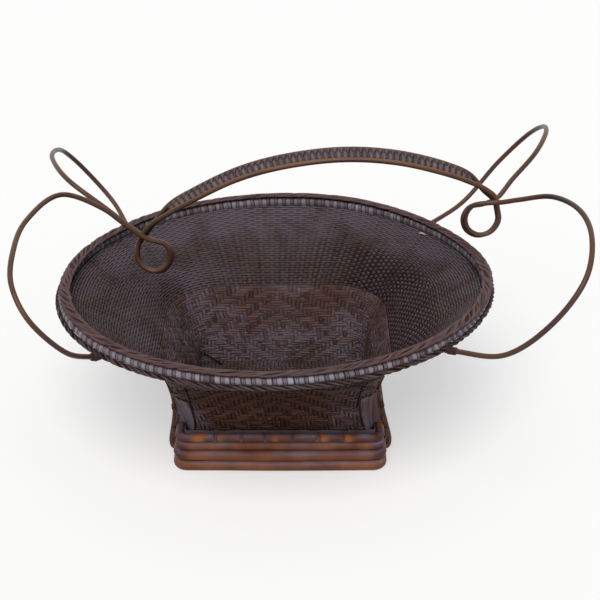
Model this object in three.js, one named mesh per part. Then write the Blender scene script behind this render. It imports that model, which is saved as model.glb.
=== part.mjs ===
import * as THREE from 'three';
import { LoftGeometry } from 'three/addons/geometries/LoftGeometry.js';

// A woven flower basket in millimetres, +Z up. A square neck stands in a foot of stacked
// cane rails and opens into a round mouth. Two bent canes, front and rear, rise from the
// rim, curl once on each side and carry a wrapped grip over the mouth.
// The sides are named as seen from the front: front is -Y, left is -X.

// Fits
const CLEARANCE = 0.3; // between pieces that touch

// Woven bowl
const NECK_HALF = 80.5; // outside of the neck, from its axis to a flat side
const NECK_CORNER = 12; // outside corner radius of the neck
const NECK_TOP = 36; // height at which the upright neck starts to open
const WALL_THICKNESS = 2.4;
const FLOOR_HEIGHT = 14; // underside of the floor above the ground
const FLOOR_THICKNESS = 2.4;
const FLARE_STIFFNESS = 65; // pull of the neck on the flare
const FLARE_START = THREE.MathUtils.degToRad(10); // of the wall above the neck, from upright
const FLARE_REACH = 57; // pull of the mouth on the flare
const FLARE_SLOPE = THREE.MathUtils.degToRad(30); // of the wall where it meets the rim
const TWILL_SHARE = 0.45; // of the wall's length, from the floor up, woven in twill

// Rim
const RIM_RADIUS = 183.3; // to the middle of the core hoop
const RIM_HEIGHT = 141.7; // of the middle of the core hoop
const RIM_CORE_RADIUS = 2.5;
const RIM_WRAP_THICKNESS = 1.2;
const RIM_WRAP_SWEEP = THREE.MathUtils.degToRad(280); // the wrap is open towards the wall
const TOP_CORD_RADIUS = 2.3;
const TOP_CORD_ANGLE = THREE.MathUtils.degToRad(100); // round the core, from outwards
const OUTER_ROPE_RADIUS = 2.3;
const OUTER_ROPE_ANGLE = THREE.MathUtils.degToRad(-38);
const LEAN_TOP = 65; // the worn bowl bends over between its foot and this height
const MOUTH_SHIFT = -5.4; // it leans to the left of its foot
const MOUTH_TILT = 0.022; // its rim rises to the right, mm per mm
const MOUTH_FALL = 3.3; // and is this much lower at the rear than at the front

// Foot
const BAND_THICKNESS = 1.7; // flat band between the neck and the rails
const BAND_CORNER = 0.5; // inside corner radius of the band
const BAND_LIFT = 1.5; // its lower edge stays off the ground
const BAND_PROUD = 0.8; // its upper edge stands above the top rail
const LOWER_RAIL_DIAMETER = 9.6;
const UPPER_RAIL_DIAMETER = 7.4;

// Lashings over the top rail
const LASHES_PER_SIDE = 6;
const LASH_PITCH = 22;
const LASH_WIDTH = 3.4;
const LASH_THICKNESS = 0.9;
const LASH_FROM = THREE.MathUtils.degToRad(-25); // round the rail, from outwards
const LASH_TO = THREE.MathUtils.degToRad(120);

// Stays between the foot's left and right sides and the flare
const STAY_RADIUS = 2;
const STAY_ASIDE = 62; // from the middle of a side
const STAY_FOOT = 8; // height of its lower end
const STAY_TOP_SHARE = 0.28; // place of its upper end along the wall's length
const STAY_TIE_PLACE = 0.8; // along the stay

// Handle
const CANE_RADIUS = 2.2;
const GRIP_CORE_RADIUS = 3.2;
const GRIP_END_SHARE = 0.45; // the wrapped cores taper to this share of their radius
const GRIP_TAPER = 0.07; // of their length at each end
const ANCHOR_ANGLE = THREE.MathUtils.degToRad(42.7); // from the X axis, at all four ends
const ANCHOR_DROP = 5; // below the middle of the rim
const ANCHOR_SEAT = 0.8; // play between a cane's cut end and the outer rope
const TIE_WALL = 1.2; // thickness of the bindings
const TIE_LENGTH = 6;
const RIM_TIE_START = 2; // from a cane's cut end to its binding

// Loops of the handle: middle, radii and turn in the upright plane, heights above the rim
const RIGHT_LOOP = { x: 173.1, height: 60, across: 14.8, up: 16, from: 130, to: 390 };
const LEFT_LOOP = { x: -109.9, height: 26, across: 14.7, up: 16.5, from: 150, to: 400 };
const LOOP_POINTS = 7;
const REAR_LOOP_SAG = 5; // the rear loops hang lower than the front ones

// Ears of the handle, from the rim to the loop: x, distance from the middle plane, height
// above the rim, and how much lower the rear cane runs
const RIGHT_EAR = [
	[176.1, 162, 11, 6], [209.1, 174, 45, 4], [233.1, 162, 76, 3], [242.1, 129, 95, 1],
	[239.1, 91, 102, 0], [223.1, 49, 97, 0], [201.1, 24, 84, 0], [187.1, 13, 77, 2], [176.1, 11, 75.5, 5],
];
const LEFT_EAR = [
	[-164.9, 161, 13, 7], [-190.9, 164, 43, 5], [-204.9, 146, 64, 2], [-207.9, 112, 78, 1],
	[-203.9, 69, 85, 0], [-181.9, 20, 87, 4], [-150.9, 11, 71, 8], [-129.9, 11, 54, 8], [-113.9, 11, 42.5, 5],
];

// Arch over the mouth, from right to left: x, height above the rim, share of the full spread
const ARCH = [
	[162.1, 92.5, 0.75], [144.1, 100, 0.96], [100.1, 111, 1], [54.1, 114, 1],
	[3.1, 107.5, 1], [-35.9, 96, 1], [-74.9, 76.5, 1], [-94.9, 64.5, 0.85],
];

// Short runs between the arch and its loops: x, height above the rim, rear sag
const RIGHT_RUN = [[183.6, 77.5, 5], [174.1, 85.5, 4]];
const LEFT_RUN = [[-111.4, 51.5, 4], [-119.4, 41.5, 5]];

// Facets
const SIDE_STEPS = 6; // along half a flat side of the bowl
const CORNER_STEPS = 4; // round a corner of the bowl
const RAIL_CORNER_STEPS = 5;
const CORD_SIDES = 6;
const RAIL_SIDES = 8;
const CANE_SIDES = 6;
const ARC_SEGMENTS = 4; // in half of a lashing or binding
const WRAP_STEPS = 6;
const CANE_STEPS = 150;
const GRIP_STEPS = 30;
const STAY_STEPS = 8;

const weave = new THREE.MeshStandardMaterial({ color: 0x3b2a25, roughness: 0.55, metalness: 0 });
const fineWeave = new THREE.MeshStandardMaterial({ color: 0x40302d, roughness: 0.5, metalness: 0 });
const cord = new THREE.MeshStandardMaterial({ color: 0x4a2b22, roughness: 0.6, metalness: 0 });
const rail = new THREE.MeshStandardMaterial({ color: 0x5d3220, roughness: 0.45, metalness: 0 });
const splint = new THREE.MeshStandardMaterial({ color: 0x4c3a36, roughness: 0.55, metalness: 0 });
const cane = new THREE.MeshStandardMaterial({ color: 0x5c422c, roughness: 0.45, metalness: 0 });

const basket = new THREE.Group();

function addPiece(name, geometry, material, parent = basket) {
	const mesh = new THREE.Mesh(geometry, material);
	mesh.name = name;
	parent.add(mesh);
	return mesh;
}

// Sizes that follow from the values above
const bandInside = NECK_HALF + CLEARANCE;
const bandOutside = bandInside + BAND_THICKNESS;
const railSeat = bandOutside + CLEARANCE;
const railCornerSeat = BAND_CORNER + BAND_THICKNESS + CLEARANCE;
const lowerRailTop = 2 * LOWER_RAIL_DIAMETER + CLEARANCE;
const topRailMiddle = lowerRailTop + 2 * CLEARANCE + 1.5 * UPPER_RAIL_DIAMETER;
const footTop = topRailMiddle + UPPER_RAIL_DIAMETER / 2 + BAND_PROUD;
const rimWrapRadius = RIM_CORE_RADIUS + CLEARANCE + RIM_WRAP_THICKNESS;
const gripSpread = GRIP_CORE_RADIUS + CLEARANCE;
const caneSpread = 2 * gripSpread + CLEARANCE + CANE_RADIUS;
const loopNear = CANE_RADIUS + 3 * CLEARANCE;
const loopFar = loopNear + 3 * CANE_RADIUS;

// The bowl leans and tilts, more and more from the top of the foot up.
function lean(point) {
	const share = THREE.MathUtils.clamp((point.z - footTop) / (LEAN_TOP - footTop), 0, 1);
	point.z += MOUTH_TILT * point.x * share;
	point.z -= MOUTH_FALL * share * (1 + point.y / RIM_RADIUS) / 2;
	point.x += MOUTH_SHIFT * share;
	return point;
}

// A point on a square with round corners, at a share of the way round from its +X side.
// With the corner radius as large as the half width, the square is a circle.
function planPoint(turn, half, corner, height) {
	const straight = half - corner;
	const arc = corner * Math.PI / 2;
	const quarter = Math.floor(turn * 4 + 1e-9);
	let along = (turn * 4 - quarter) * (2 * straight + arc);
	const point = new THREE.Vector3(half, along, height);
	if (along > straight + arc) {
		along -= straight + arc;
		point.set(straight - along, half, height);
	} else if (along > straight) {
		const angle = (along - straight) / corner;
		point.x = straight + corner * Math.cos(angle);
		point.y = straight + corner * Math.sin(angle);
	}
	return point.applyAxisAngle(new THREE.Vector3(0, 0, 1), quarter * Math.PI / 2);
}

// Shares of the way round, closer together at the corners
function turnsRound(straightShare, sideSteps, cornerSteps) {
	const turns = [];
	for (let quarter = 0; quarter < 4; quarter++) {
		for (let i = 0; i < sideSteps; i++) turns.push(quarter + straightShare * i / sideSteps);
		for (let i = 0; i < cornerSteps; i++) {
			turns.push(quarter + straightShare + (1 - 2 * straightShare) * i / cornerSteps);
		}
		for (let i = 0; i < sideSteps; i++) {
			turns.push(quarter + 1 - straightShare + straightShare * i / sideSteps);
		}
	}
	return turns.map((turn) => turn / 4);
}

function straightShare(half, corner) {
	return (half - corner) / (2 * (half - corner) + corner * Math.PI / 2);
}

// A closed ring whose section is a list of corners, each with half, corner and height.
// It is lofted clockwise, because sections run counterclockwise from the outside.
function ringGeometry(section, turns) {
	const sections = turns.toReversed().map((turn) => section.map(
		(edge) => lean(planPoint(turn, edge.half, edge.corner, edge.height))));
	sections.push(sections[0]);
	return new LoftGeometry(sections);
}

// Bowl: the outside of the wall is an upright line and a curve from the floor to the rim
const rimAim = new THREE.Vector2(Math.cos(FLARE_SLOPE), Math.sin(FLARE_SLOPE));
const rimMiddle = new THREE.Vector2(RIM_RADIUS, RIM_HEIGHT);
const mouthEdge = rimMiddle.clone()
	.addScaledVector(rimAim, -(RIM_CORE_RADIUS + CLEARANCE))
	.add(new THREE.Vector2(rimAim.y, -rimAim.x).multiplyScalar(WALL_THICKNESS / 2));
const wallProfile = new THREE.CurvePath();
wallProfile.add(new THREE.LineCurve(
	new THREE.Vector2(NECK_HALF, FLOOR_HEIGHT), new THREE.Vector2(NECK_HALF, NECK_TOP)));
wallProfile.add(new THREE.CubicBezierCurve(
	new THREE.Vector2(NECK_HALF, NECK_TOP),
	new THREE.Vector2(Math.sin(FLARE_START), Math.cos(FLARE_START))
		.multiplyScalar(FLARE_STIFFNESS).add(new THREE.Vector2(NECK_HALF, NECK_TOP)),
	mouthEdge.clone().addScaledVector(rimAim, -FLARE_REACH),
	mouthEdge));

// An edge of the wall at a share of its length, a little way out from its outer face
function wallEdge(share, out) {
	const point = wallProfile.getPoint(share);
	const along = wallProfile.getTangent(share);
	const opening = Math.max(0, (point.x - NECK_HALF) / (mouthEdge.x - NECK_HALF));
	const corner = NECK_CORNER + (point.x - NECK_CORNER) * Math.sqrt(opening);
	return {
		half: point.x + out * along.y,
		corner: corner + out * along.y,
		height: point.y - out * along.x,
	};
}

function wallSection(shares) {
	const outside = shares.map((share) => wallEdge(share, 0));
	const inside = shares.map((share) => wallEdge(share, -WALL_THICKNESS));
	return [...outside, ...inside.reverse()];
}

function sharesBetween(from, to, steps) {
	return Array.from({ length: steps + 1 }, (_, i) => from + (to - from) * i / steps);
}

const bowlTurns = turnsRound(straightShare(NECK_HALF, NECK_CORNER), SIDE_STEPS, CORNER_STEPS);
const neckFold = wallProfile.curves[0].getLength() / wallProfile.getLength();
const seamGap = CLEARANCE / wallProfile.getLength();
const twillTop = TWILL_SHARE - seamGap / 2;
const neckShares = [0, ...sharesBetween(neckFold, twillTop, 3)];
const flareShares = sharesBetween(TWILL_SHARE + seamGap / 2, 1, 5);
addPiece('neck_weave', ringGeometry(wallSection(neckShares), bowlTurns), weave);
addPiece('flare_weave', ringGeometry(wallSection(flareShares), bowlTurns), fineWeave);

function floorGeometry() {
	const half = NECK_HALF - WALL_THICKNESS - CLEARANCE;
	const corner = NECK_CORNER - WALL_THICKNESS - CLEARANCE;
	const outline = bowlTurns.map((turn) => planPoint(turn, half, corner, 0));
	const shape = new THREE.Shape(outline.map((point) => new THREE.Vector2(point.x, point.y)));
	return new THREE.ExtrudeGeometry(shape, { depth: FLOOR_THICKNESS, bevelEnabled: false });
}

addPiece('floor_mat', floorGeometry(), weave).position.z = FLOOR_HEIGHT;

// Rim: sections are drawn round the middle of the core hoop
function rimEdge(radius, angle, middle = new THREE.Vector2()) {
	const reach = RIM_RADIUS + middle.x + radius * Math.cos(angle);
	return { half: reach, corner: reach, height: RIM_HEIGHT + middle.y + radius * Math.sin(angle) };
}

function roundRimSection(radius, middle) {
	const step = 2 * Math.PI / CORD_SIDES;
	return Array.from({ length: CORD_SIDES }, (_, i) => rimEdge(radius, step * i, middle));
}

function rimWrapSection() {
	const start = FLARE_SLOPE - RIM_WRAP_SWEEP / 2;
	const angles = sharesBetween(start, start + RIM_WRAP_SWEEP, WRAP_STEPS);
	const outside = angles.map((angle) => rimEdge(rimWrapRadius, angle));
	const inside = angles.map((angle) => rimEdge(rimWrapRadius - RIM_WRAP_THICKNESS, angle));
	return [...outside, ...inside.reverse()];
}

function besideWrap(radius, angle) {
	const reach = rimWrapRadius + CLEARANCE + radius;
	return new THREE.Vector2(reach * Math.cos(angle), reach * Math.sin(angle));
}

const ropeMiddle = besideWrap(OUTER_ROPE_RADIUS, OUTER_ROPE_ANGLE);
const cordMiddle = besideWrap(TOP_CORD_RADIUS, TOP_CORD_ANGLE);
addPiece('rim_core', ringGeometry(roundRimSection(RIM_CORE_RADIUS), bowlTurns), cane);
addPiece('rim_wrap', ringGeometry(rimWrapSection(), bowlTurns), splint);
const ropeSection = roundRimSection(OUTER_ROPE_RADIUS, ropeMiddle);
addPiece('rim_outer_rope', ringGeometry(ropeSection, bowlTurns), cord);
const cordSection = roundRimSection(TOP_CORD_RADIUS, cordMiddle);
addPiece('rim_top_cord', ringGeometry(cordSection, bowlTurns), cord);

// Foot: a flat band round the neck, and four rails stacked round the band
function bandSection() {
	const edge = (out, height) => ({ half: bandInside + out, corner: BAND_CORNER + out, height });
	return [
		edge(0, BAND_LIFT), edge(BAND_THICKNESS, BAND_LIFT),
		edge(BAND_THICKNESS, footTop), edge(0, footTop),
	];
}

// A rail's section has a flat below, so that the lowest rail stands firmly.
function railSection(diameter, middle) {
	const vertexReach = diameter / 2 / Math.cos(Math.PI / RAIL_SIDES);
	return Array.from({ length: RAIL_SIDES }, (_, i) => {
		const angle = 2 * Math.PI * (i + 0.5) / RAIL_SIDES;
		const out = diameter / 2 + vertexReach * Math.cos(angle);
		const height = middle + vertexReach * Math.sin(angle);
		return { half: railSeat + out, corner: railCornerSeat + out, height };
	});
}

const bandStraight = straightShare(bandOutside, BAND_CORNER + BAND_THICKNESS);
const footTurns = turnsRound(bandStraight, 1, RAIL_CORNER_STEPS);
const railMiddles = [
	LOWER_RAIL_DIAMETER / 2,
	LOWER_RAIL_DIAMETER * 1.5 + CLEARANCE,
	lowerRailTop + CLEARANCE + UPPER_RAIL_DIAMETER / 2,
	topRailMiddle,
];
addPiece('foot_band', ringGeometry(bandSection(), footTurns), splint);
railMiddles.forEach((middle, i) => {
	const diameter = i < 2 ? LOWER_RAIL_DIAMETER : UPPER_RAIL_DIAMETER;
	addPiece(`foot_rail_${i + 1}`, ringGeometry(railSection(diameter, middle), footTurns), rail);
});

// Lashings: short straps bent over the top rail, the same on all four sides
function lashGeometry() {
	const inner = UPPER_RAIL_DIAMETER / 2 / Math.cos(Math.PI / RAIL_SIDES) + CLEARANCE / 2;
	const strap = new THREE.Shape();
	strap.absarc(0, 0, inner + LASH_THICKNESS, LASH_FROM, LASH_TO, false);
	strap.absarc(0, 0, inner, LASH_TO, LASH_FROM, true);
	const settings = { depth: LASH_WIDTH, bevelEnabled: false, curveSegments: ARC_SEGMENTS };
	return new THREE.ExtrudeGeometry(strap, settings);
}

['right', 'rear', 'left', 'front'].forEach((side, quarter) => {
	const sideGroup = new THREE.Group();
	sideGroup.rotation.z = quarter * Math.PI / 2;
	basket.add(sideGroup);
	for (let i = 0; i < LASHES_PER_SIDE; i++) {
		const lash = addPiece(`foot_lash_${side}_${i + 1}`, lashGeometry(), splint, sideGroup);
		lash.rotation.x = Math.PI / 2;
		lash.position.x = railSeat + UPPER_RAIL_DIAMETER / 2;
		lash.position.y = (i - (LASHES_PER_SIDE - 1) / 2) * LASH_PITCH + LASH_WIDTH / 2;
		lash.position.z = topRailMiddle;
	}
});

// A round rod along a curve, whose radius may change on the way
function rodGeometry(curve, steps, radiusAt) {
	const frames = curve.computeFrenetFrames(steps, false);
	const sections = sharesBetween(0, 1, steps).map((share, i) => {
		const middle = curve.getPointAt(share);
		return Array.from({ length: CANE_SIDES }, (_, side) => {
			const angle = 2 * Math.PI * side / CANE_SIDES;
			return middle.clone()
				.addScaledVector(frames.normals[i], radiusAt(share) * Math.cos(angle))
				.addScaledVector(frames.binormals[i], radiusAt(share) * Math.sin(angle));
		});
	});
	return new LoftGeometry(sections, { capStart: true, capEnd: true });
}

// A short binding round a rod, centred on the origin, whose hole clears the rod all round
function tieGeometry(radius, length) {
	const hole = (radius + CLEARANCE) / Math.cos(Math.PI / (2 * ARC_SEGMENTS));
	const outline = new THREE.Shape().absarc(0, 0, hole + TIE_WALL, 0, 2 * Math.PI, false);
	outline.holes.push(new THREE.Path().absarc(0, 0, hole, 0, 2 * Math.PI, true));
	const settings = { depth: length, bevelEnabled: false, curveSegments: ARC_SEGMENTS };
	return new THREE.ExtrudeGeometry(outline, settings).translate(0, 0, -length / 2);
}

function placeOnCurve(mesh, curve, share) {
	mesh.position.copy(curve.getPointAt(share));
	mesh.quaternion.setFromUnitVectors(new THREE.Vector3(0, 0, 1), curve.getTangentAt(share));
}

// Stays: each stands against the lower rails on the left or right and reaches up under the flare
function reachAside(edge, aside) {
	const straight = edge.half - edge.corner;
	return straight + Math.sqrt(edge.corner ** 2 - Math.max(0, aside - straight) ** 2);
}

function stayCurve(xSign, ySign) {
	const railOutside = {
		half: railSeat + LOWER_RAIL_DIAMETER,
		corner: railCornerSeat + LOWER_RAIL_DIAMETER,
	};
	const footReach = reachAside(railOutside, STAY_ASIDE) + CLEARANCE + STAY_RADIUS;
	const flatReach = STAY_RADIUS * Math.cos(Math.PI / CANE_SIDES);
	const wallTop = wallEdge(STAY_TOP_SHARE, CLEARANCE + flatReach);
	const topReach = reachAside(wallTop, STAY_ASIDE);
	const onSide = (reach, height) => new THREE.Vector3(xSign * reach, ySign * STAY_ASIDE, height);
	return new THREE.CatmullRomCurve3([
		onSide(footReach, STAY_FOOT),
		onSide(footReach, (STAY_FOOT + lowerRailTop) / 2),
		onSide(footReach, lowerRailTop),
		onSide((footReach + 3 * topReach) / 4, (2 * footTop + wallTop.height) / 3),
		onSide(topReach, wallTop.height),
	].map(lean));
}

for (const [end, ySign] of [['front', -1], ['rear', 1]]) {
	for (const [side, xSign] of [['left', -1], ['right', 1]]) {
		const curve = stayCurve(xSign, ySign);
		addPiece(`stay_${end}_${side}`, rodGeometry(curve, STAY_STEPS, () => STAY_RADIUS), cane);
		const tie = addPiece(`stay_tie_${end}_${side}`, tieGeometry(STAY_RADIUS, TIE_LENGTH), splint);
		placeOnCurve(tie, curve, STAY_TIE_PLACE);
	}
}

// Handle: each cane runs from the rim through an ear, a loop, the arch, a loop and an ear
function anchorPoint(xSign, ySign) {
	const reach = RIM_RADIUS + ropeMiddle.x + OUTER_ROPE_RADIUS + ANCHOR_SEAT;
	return lean(new THREE.Vector3(
		xSign * reach * Math.cos(ANCHOR_ANGLE),
		ySign * reach * Math.sin(ANCHOR_ANGLE),
		RIM_HEIGHT - ANCHOR_DROP));
}

function caneCurve(ySign) {
	const sagging = (sag) => (ySign > 0 ? sag : 0);
	const place = (x, spread, height, sag) => new THREE.Vector3(
		x, ySign * spread, RIM_HEIGHT + height - sagging(sag));
	const ear = (points) => points.map(([x, spread, height, sag]) => place(x, spread, height, sag));
	const loop = (shape, fromSpread, toSpread) => sharesBetween(0, 1, LOOP_POINTS - 1).map((share) => {
		const angle = THREE.MathUtils.degToRad(THREE.MathUtils.lerp(shape.from, shape.to, share));
		const spread = THREE.MathUtils.lerp(fromSpread, toSpread, share);
		const x = shape.x + shape.across * Math.cos(angle);
		return place(x, spread, shape.height + shape.up * Math.sin(angle), REAR_LOOP_SAG);
	});
	const run = (points) => points.map(([x, height, sag]) => place(x, loopNear, height, sag));
	const arch = ARCH.map(([x, height, share]) => place(x, caneSpread * share, height, 0));
	return new THREE.CatmullRomCurve3([
		anchorPoint(1, ySign),
		...ear(RIGHT_EAR),
		...loop(RIGHT_LOOP, loopFar, loopNear),
		...run(RIGHT_RUN),
		...arch,
		...run(LEFT_RUN),
		...loop(LEFT_LOOP, loopNear, loopFar),
		...ear(LEFT_EAR).reverse(),
		anchorPoint(-1, ySign),
	]);
}

function gripCurve(ySign) {
	return new THREE.CatmullRomCurve3(ARCH.map(([x, height, share]) => new THREE.Vector3(
		x, ySign * gripSpread * share, RIM_HEIGHT + height)));
}

function gripRadius(share) {
	const fromEnd = Math.min(share, 1 - share) / GRIP_TAPER;
	return GRIP_CORE_RADIUS * Math.min(1, GRIP_END_SHARE + (1 - GRIP_END_SHARE) * fromEnd);
}

for (const [end, ySign] of [['front', -1], ['rear', 1]]) {
	const curve = caneCurve(ySign);
	addPiece(`handle_cane_${end}`, rodGeometry(curve, CANE_STEPS, () => CANE_RADIUS), cane);
	addPiece(`grip_core_${end}`, rodGeometry(gripCurve(ySign), GRIP_STEPS, gripRadius), splint);
	const tieShare = (RIM_TIE_START + TIE_LENGTH / 2) / curve.getLength();
	for (const [side, share] of [['right', tieShare], ['left', 1 - tieShare]]) {
		const tie = addPiece(`rim_tie_${end}_${side}`, tieGeometry(CANE_RADIUS, TIE_LENGTH), splint);
		placeOnCurve(tie, curve, share);
	}
}

// The origin is on the ground below the middle of the whole basket.
const box = new THREE.Box3().setFromObject(basket, true);
const middle = box.getCenter(new THREE.Vector3());
basket.position.set(-middle.x, -middle.y, -box.min.z);

export default basket;
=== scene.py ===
"""Dresses a woven flower basket: splints, cords, canes and lashings in place of its solids."""

import collections
import math

import bmesh
import bpy
import numpy as np
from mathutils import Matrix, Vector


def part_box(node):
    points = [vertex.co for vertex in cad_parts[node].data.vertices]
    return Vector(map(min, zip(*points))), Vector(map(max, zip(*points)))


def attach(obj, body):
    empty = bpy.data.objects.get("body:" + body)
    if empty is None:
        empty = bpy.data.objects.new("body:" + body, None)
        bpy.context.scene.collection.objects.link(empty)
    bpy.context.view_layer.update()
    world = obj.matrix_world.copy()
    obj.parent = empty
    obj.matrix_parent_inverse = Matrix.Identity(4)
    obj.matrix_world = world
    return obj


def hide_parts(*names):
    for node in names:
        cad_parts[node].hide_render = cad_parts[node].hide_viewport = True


bl_info = {
    "name": "Woven Flower Basket",
    "version": (1, 0, 0),
    "blender": (4, 5, 0),
    "location": "3D View > Sidebar > Basket",
    "description": "Builds the splints, cords and canes of a woven flower basket around its solids",
    "category": "Object",
}

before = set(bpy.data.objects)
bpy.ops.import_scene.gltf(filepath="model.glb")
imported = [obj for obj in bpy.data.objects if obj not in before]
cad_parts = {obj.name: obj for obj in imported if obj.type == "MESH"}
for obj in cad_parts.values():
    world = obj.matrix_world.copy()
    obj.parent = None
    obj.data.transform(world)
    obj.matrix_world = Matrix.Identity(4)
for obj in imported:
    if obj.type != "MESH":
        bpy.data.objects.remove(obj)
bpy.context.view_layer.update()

TAU = 2 * math.pi
# The foot's middle, which the bowl and the handle are measured from.
FOOT_X = (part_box("foot_rail_1")[0][0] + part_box("foot_rail_1")[1][0]) / 2

# The handle's route in metres. Ears run from the rim to a loop: x from the foot's middle,
# distance from the middle plane, height above the rim, and how much lower the rear cane runs.
RIGHT_EAR = (
    (0.1761, 0.162, 0.011, 0.006), (0.2091, 0.174, 0.045, 0.004), (0.2331, 0.162, 0.076, 0.003),
    (0.2421, 0.129, 0.095, 0.001), (0.2391, 0.091, 0.102, 0.0), (0.2231, 0.049, 0.097, 0.0),
    (0.2011, 0.024, 0.084, 0.001), (0.1871, 0.013, 0.077, 0.007), (0.1761, 0.011, 0.0755, 0.0098),
)
LEFT_EAR = (
    (-0.1649, 0.161, 0.013, 0.007), (-0.1909, 0.164, 0.043, 0.005), (-0.2049, 0.146, 0.064, 0.002),
    (-0.2079, 0.112, 0.078, 0.001), (-0.2039, 0.069, 0.085, 0.0), (-0.1819, 0.020, 0.087, 0.004),
    (-0.1509, 0.011, 0.071, 0.0095), (-0.1299, 0.011, 0.054, 0.0105), (-0.1139, 0.011, 0.0425, 0.0102),
)
# Loops: middle x, height, radii across and up, and the turn from and to in degrees.
RIGHT_LOOP = (0.1731, 0.060, 0.0148, 0.016, 130, 390)
LEFT_LOOP = (-0.1099, 0.026, 0.0147, 0.0165, 150, 400)
LOOP_POINTS = 7  # of each loop
# The arch over the mouth, from right to left: x, height above the rim, share of the spread.
ARCH = (
    (0.1621, 0.0925, 0.75), (0.1441, 0.100, 0.96), (0.1001, 0.111, 1.0), (0.0541, 0.114, 1.0),
    (0.0031, 0.1075, 1.0), (-0.0359, 0.096, 1.0), (-0.0749, 0.0765, 1.0), (-0.0949, 0.0645, 0.85),
)
# Short runs between the arch and its loops: x, height above the rim, rear sag.
RIGHT_RUN = ((0.1836, 0.0775, 0.005), (0.1741, 0.0855, 0.004))
LEFT_RUN = ((-0.1114, 0.0515, 0.004), (-0.1194, 0.0415, 0.005))


def length(name, description, default):
    """A length in metres that a user may change."""
    return bpy.props.FloatProperty(
        name=name, description=description, default=default, unit="LENGTH", precision=5)


def angle(name, description, default):
    """An angle that a user may change, given in degrees."""
    return bpy.props.FloatProperty(
        name=name, description=description, default=math.radians(default), unit="ROTATION")


def share(name, description, default):
    """A share of something else, from nothing to all of it."""
    return bpy.props.FloatProperty(
        name=name, description=description, default=default, min=0, max=1, subtype="FACTOR")


def count(name, description, default):
    """A number of like things."""
    return bpy.props.IntProperty(name=name, description=description, default=default, min=1)


def colour(name, description, default):
    """A colour that a user may change."""
    return bpy.props.FloatVectorProperty(
        name=name, description=description, default=default, size=3, min=0, max=1, subtype="COLOR")


class BasketBowl(bpy.types.PropertyGroup):
    """Sizes of the woven bowl."""

    neck_half: length("Neck half width", "From the neck's axis to a flat side", 0.0805)
    neck_corner: length("Neck corner", "Outside corner radius of the neck", 0.012)
    neck_top: length("Neck top", "Height at which the upright neck starts to open", 0.036)
    wall: length("Wall", "Thickness of the woven wall", 0.0024)
    floor_height: length("Floor height", "Underside of the floor above the ground", 0.014)
    stiffness: length("Flare stiffness", "Pull of the neck on the flare", 0.065)
    start: angle("Flare start", "Slope of the wall above the neck, from upright", 10)
    reach: length("Flare reach", "Pull of the mouth on the flare", 0.057)
    slope: angle("Flare slope", "Slope of the wall where it meets the rim", 30)
    twill_share: share("Twill share", "Share of the wall, from the floor up, in twill", 0.45)
    lean_top: length("Lean top", "Height above which the bowl leans no further", 0.065)
    mouth_shift: length("Mouth shift", "How far the mouth leans sideways", -0.0046)
    mouth_tilt: bpy.props.FloatProperty(
        name="Mouth tilt", description="Rise of the rim to the right, m per m", default=0.022)
    mouth_fall: length("Mouth fall", "How much lower the rim is at the rear", 0.0033)
    mouth_dip: length("Mouth dip", "How much lower still the rim is at its right rear", 0.0044)
    mouth_widen: length("Mouth widening", "How much wider than round the rim is", 0.0012)


class BasketWeave(bpy.types.PropertyGroup):
    """Sizes of the splints in the bowl."""

    stakes: count("Stakes a side", "Upright splints in each side of the neck", 42)
    twill_rows: count("Twill rows", "Weavers in the neck and lower flare", 33)
    fine_rows: count("Fine rows", "Weavers in the upper flare", 37)
    floor_splints: count("Floor splints", "Splints each way in the floor", 44)
    splint: length("Splint thickness", "Thickness of the twill's splints", 0.0008)
    twill_wave: length("Twill wave", "How far twill splints swing in and out", 0.00042)
    fine_wave: length("Fine wave", "How far fine weavers swing round the stakes", 0.00045)
    seed: count("Seed", "Start of the chance differences between splints", 7)


class BasketRim(bpy.types.PropertyGroup):
    """Sizes of the rim."""

    radius: length("Radius", "To the middle of the hoop", 0.1833)
    height: length("Height", "Of the middle of the hoop above the ground", 0.1417)
    core_radius: length("Hoop radius", "Of the hoop's own section", 0.0025)
    clearance: length("Clearance", "Between pieces that touch", 0.0003)
    wrap_radius: length("Wrap radius", "Outside of the splint wound over the hoop", 0.0040)
    beads: count("Turns", "Turns of the splint round the whole rim", 146)
    groove: length("Groove", "Depth between the turns", 0.0009)
    plait_half: length("Plait half width", "Of the flat cord along the top", 0.0051)
    plait_inward: length("Plait place", "From the hoop's middle inwards to the flat cord's", 0.0008)
    plait_aside: length("Plait lean", "How much further in the flat cord lies at the left", 0.0010)
    plait_rise: length("Plait rise", "How much higher the flat cord lies at the rear", 0.0014)
    rear_swell: length("Rear swell", "How much thicker the wound rim is at the rear", 0.0014)
    plait_side: length("Plait ply", "Half width of one of its plies", 0.0014)
    plait_ply: length("Plait ply height", "Half height of one of its plies", 0.0007)
    plait_swing: length("Plait swing", "How far its plies rise and fall", 0.0005)
    cord_angle: angle("Cord angle", "Place of the flat cord round the hoop, from outwards", 100)
    cord_twists: count("Cord twists", "Turns of the flat cord's plies round the rim", 20)
    rope_radius: length("Rope radius", "Of the rope along the lower edge", 0.0023)
    rope_angle: angle("Rope angle", "Place of the rope round the hoop, from outwards", -38)
    rope_twists: count("Rope twists", "Turns of the rope's plies round the rim", 48)


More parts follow.
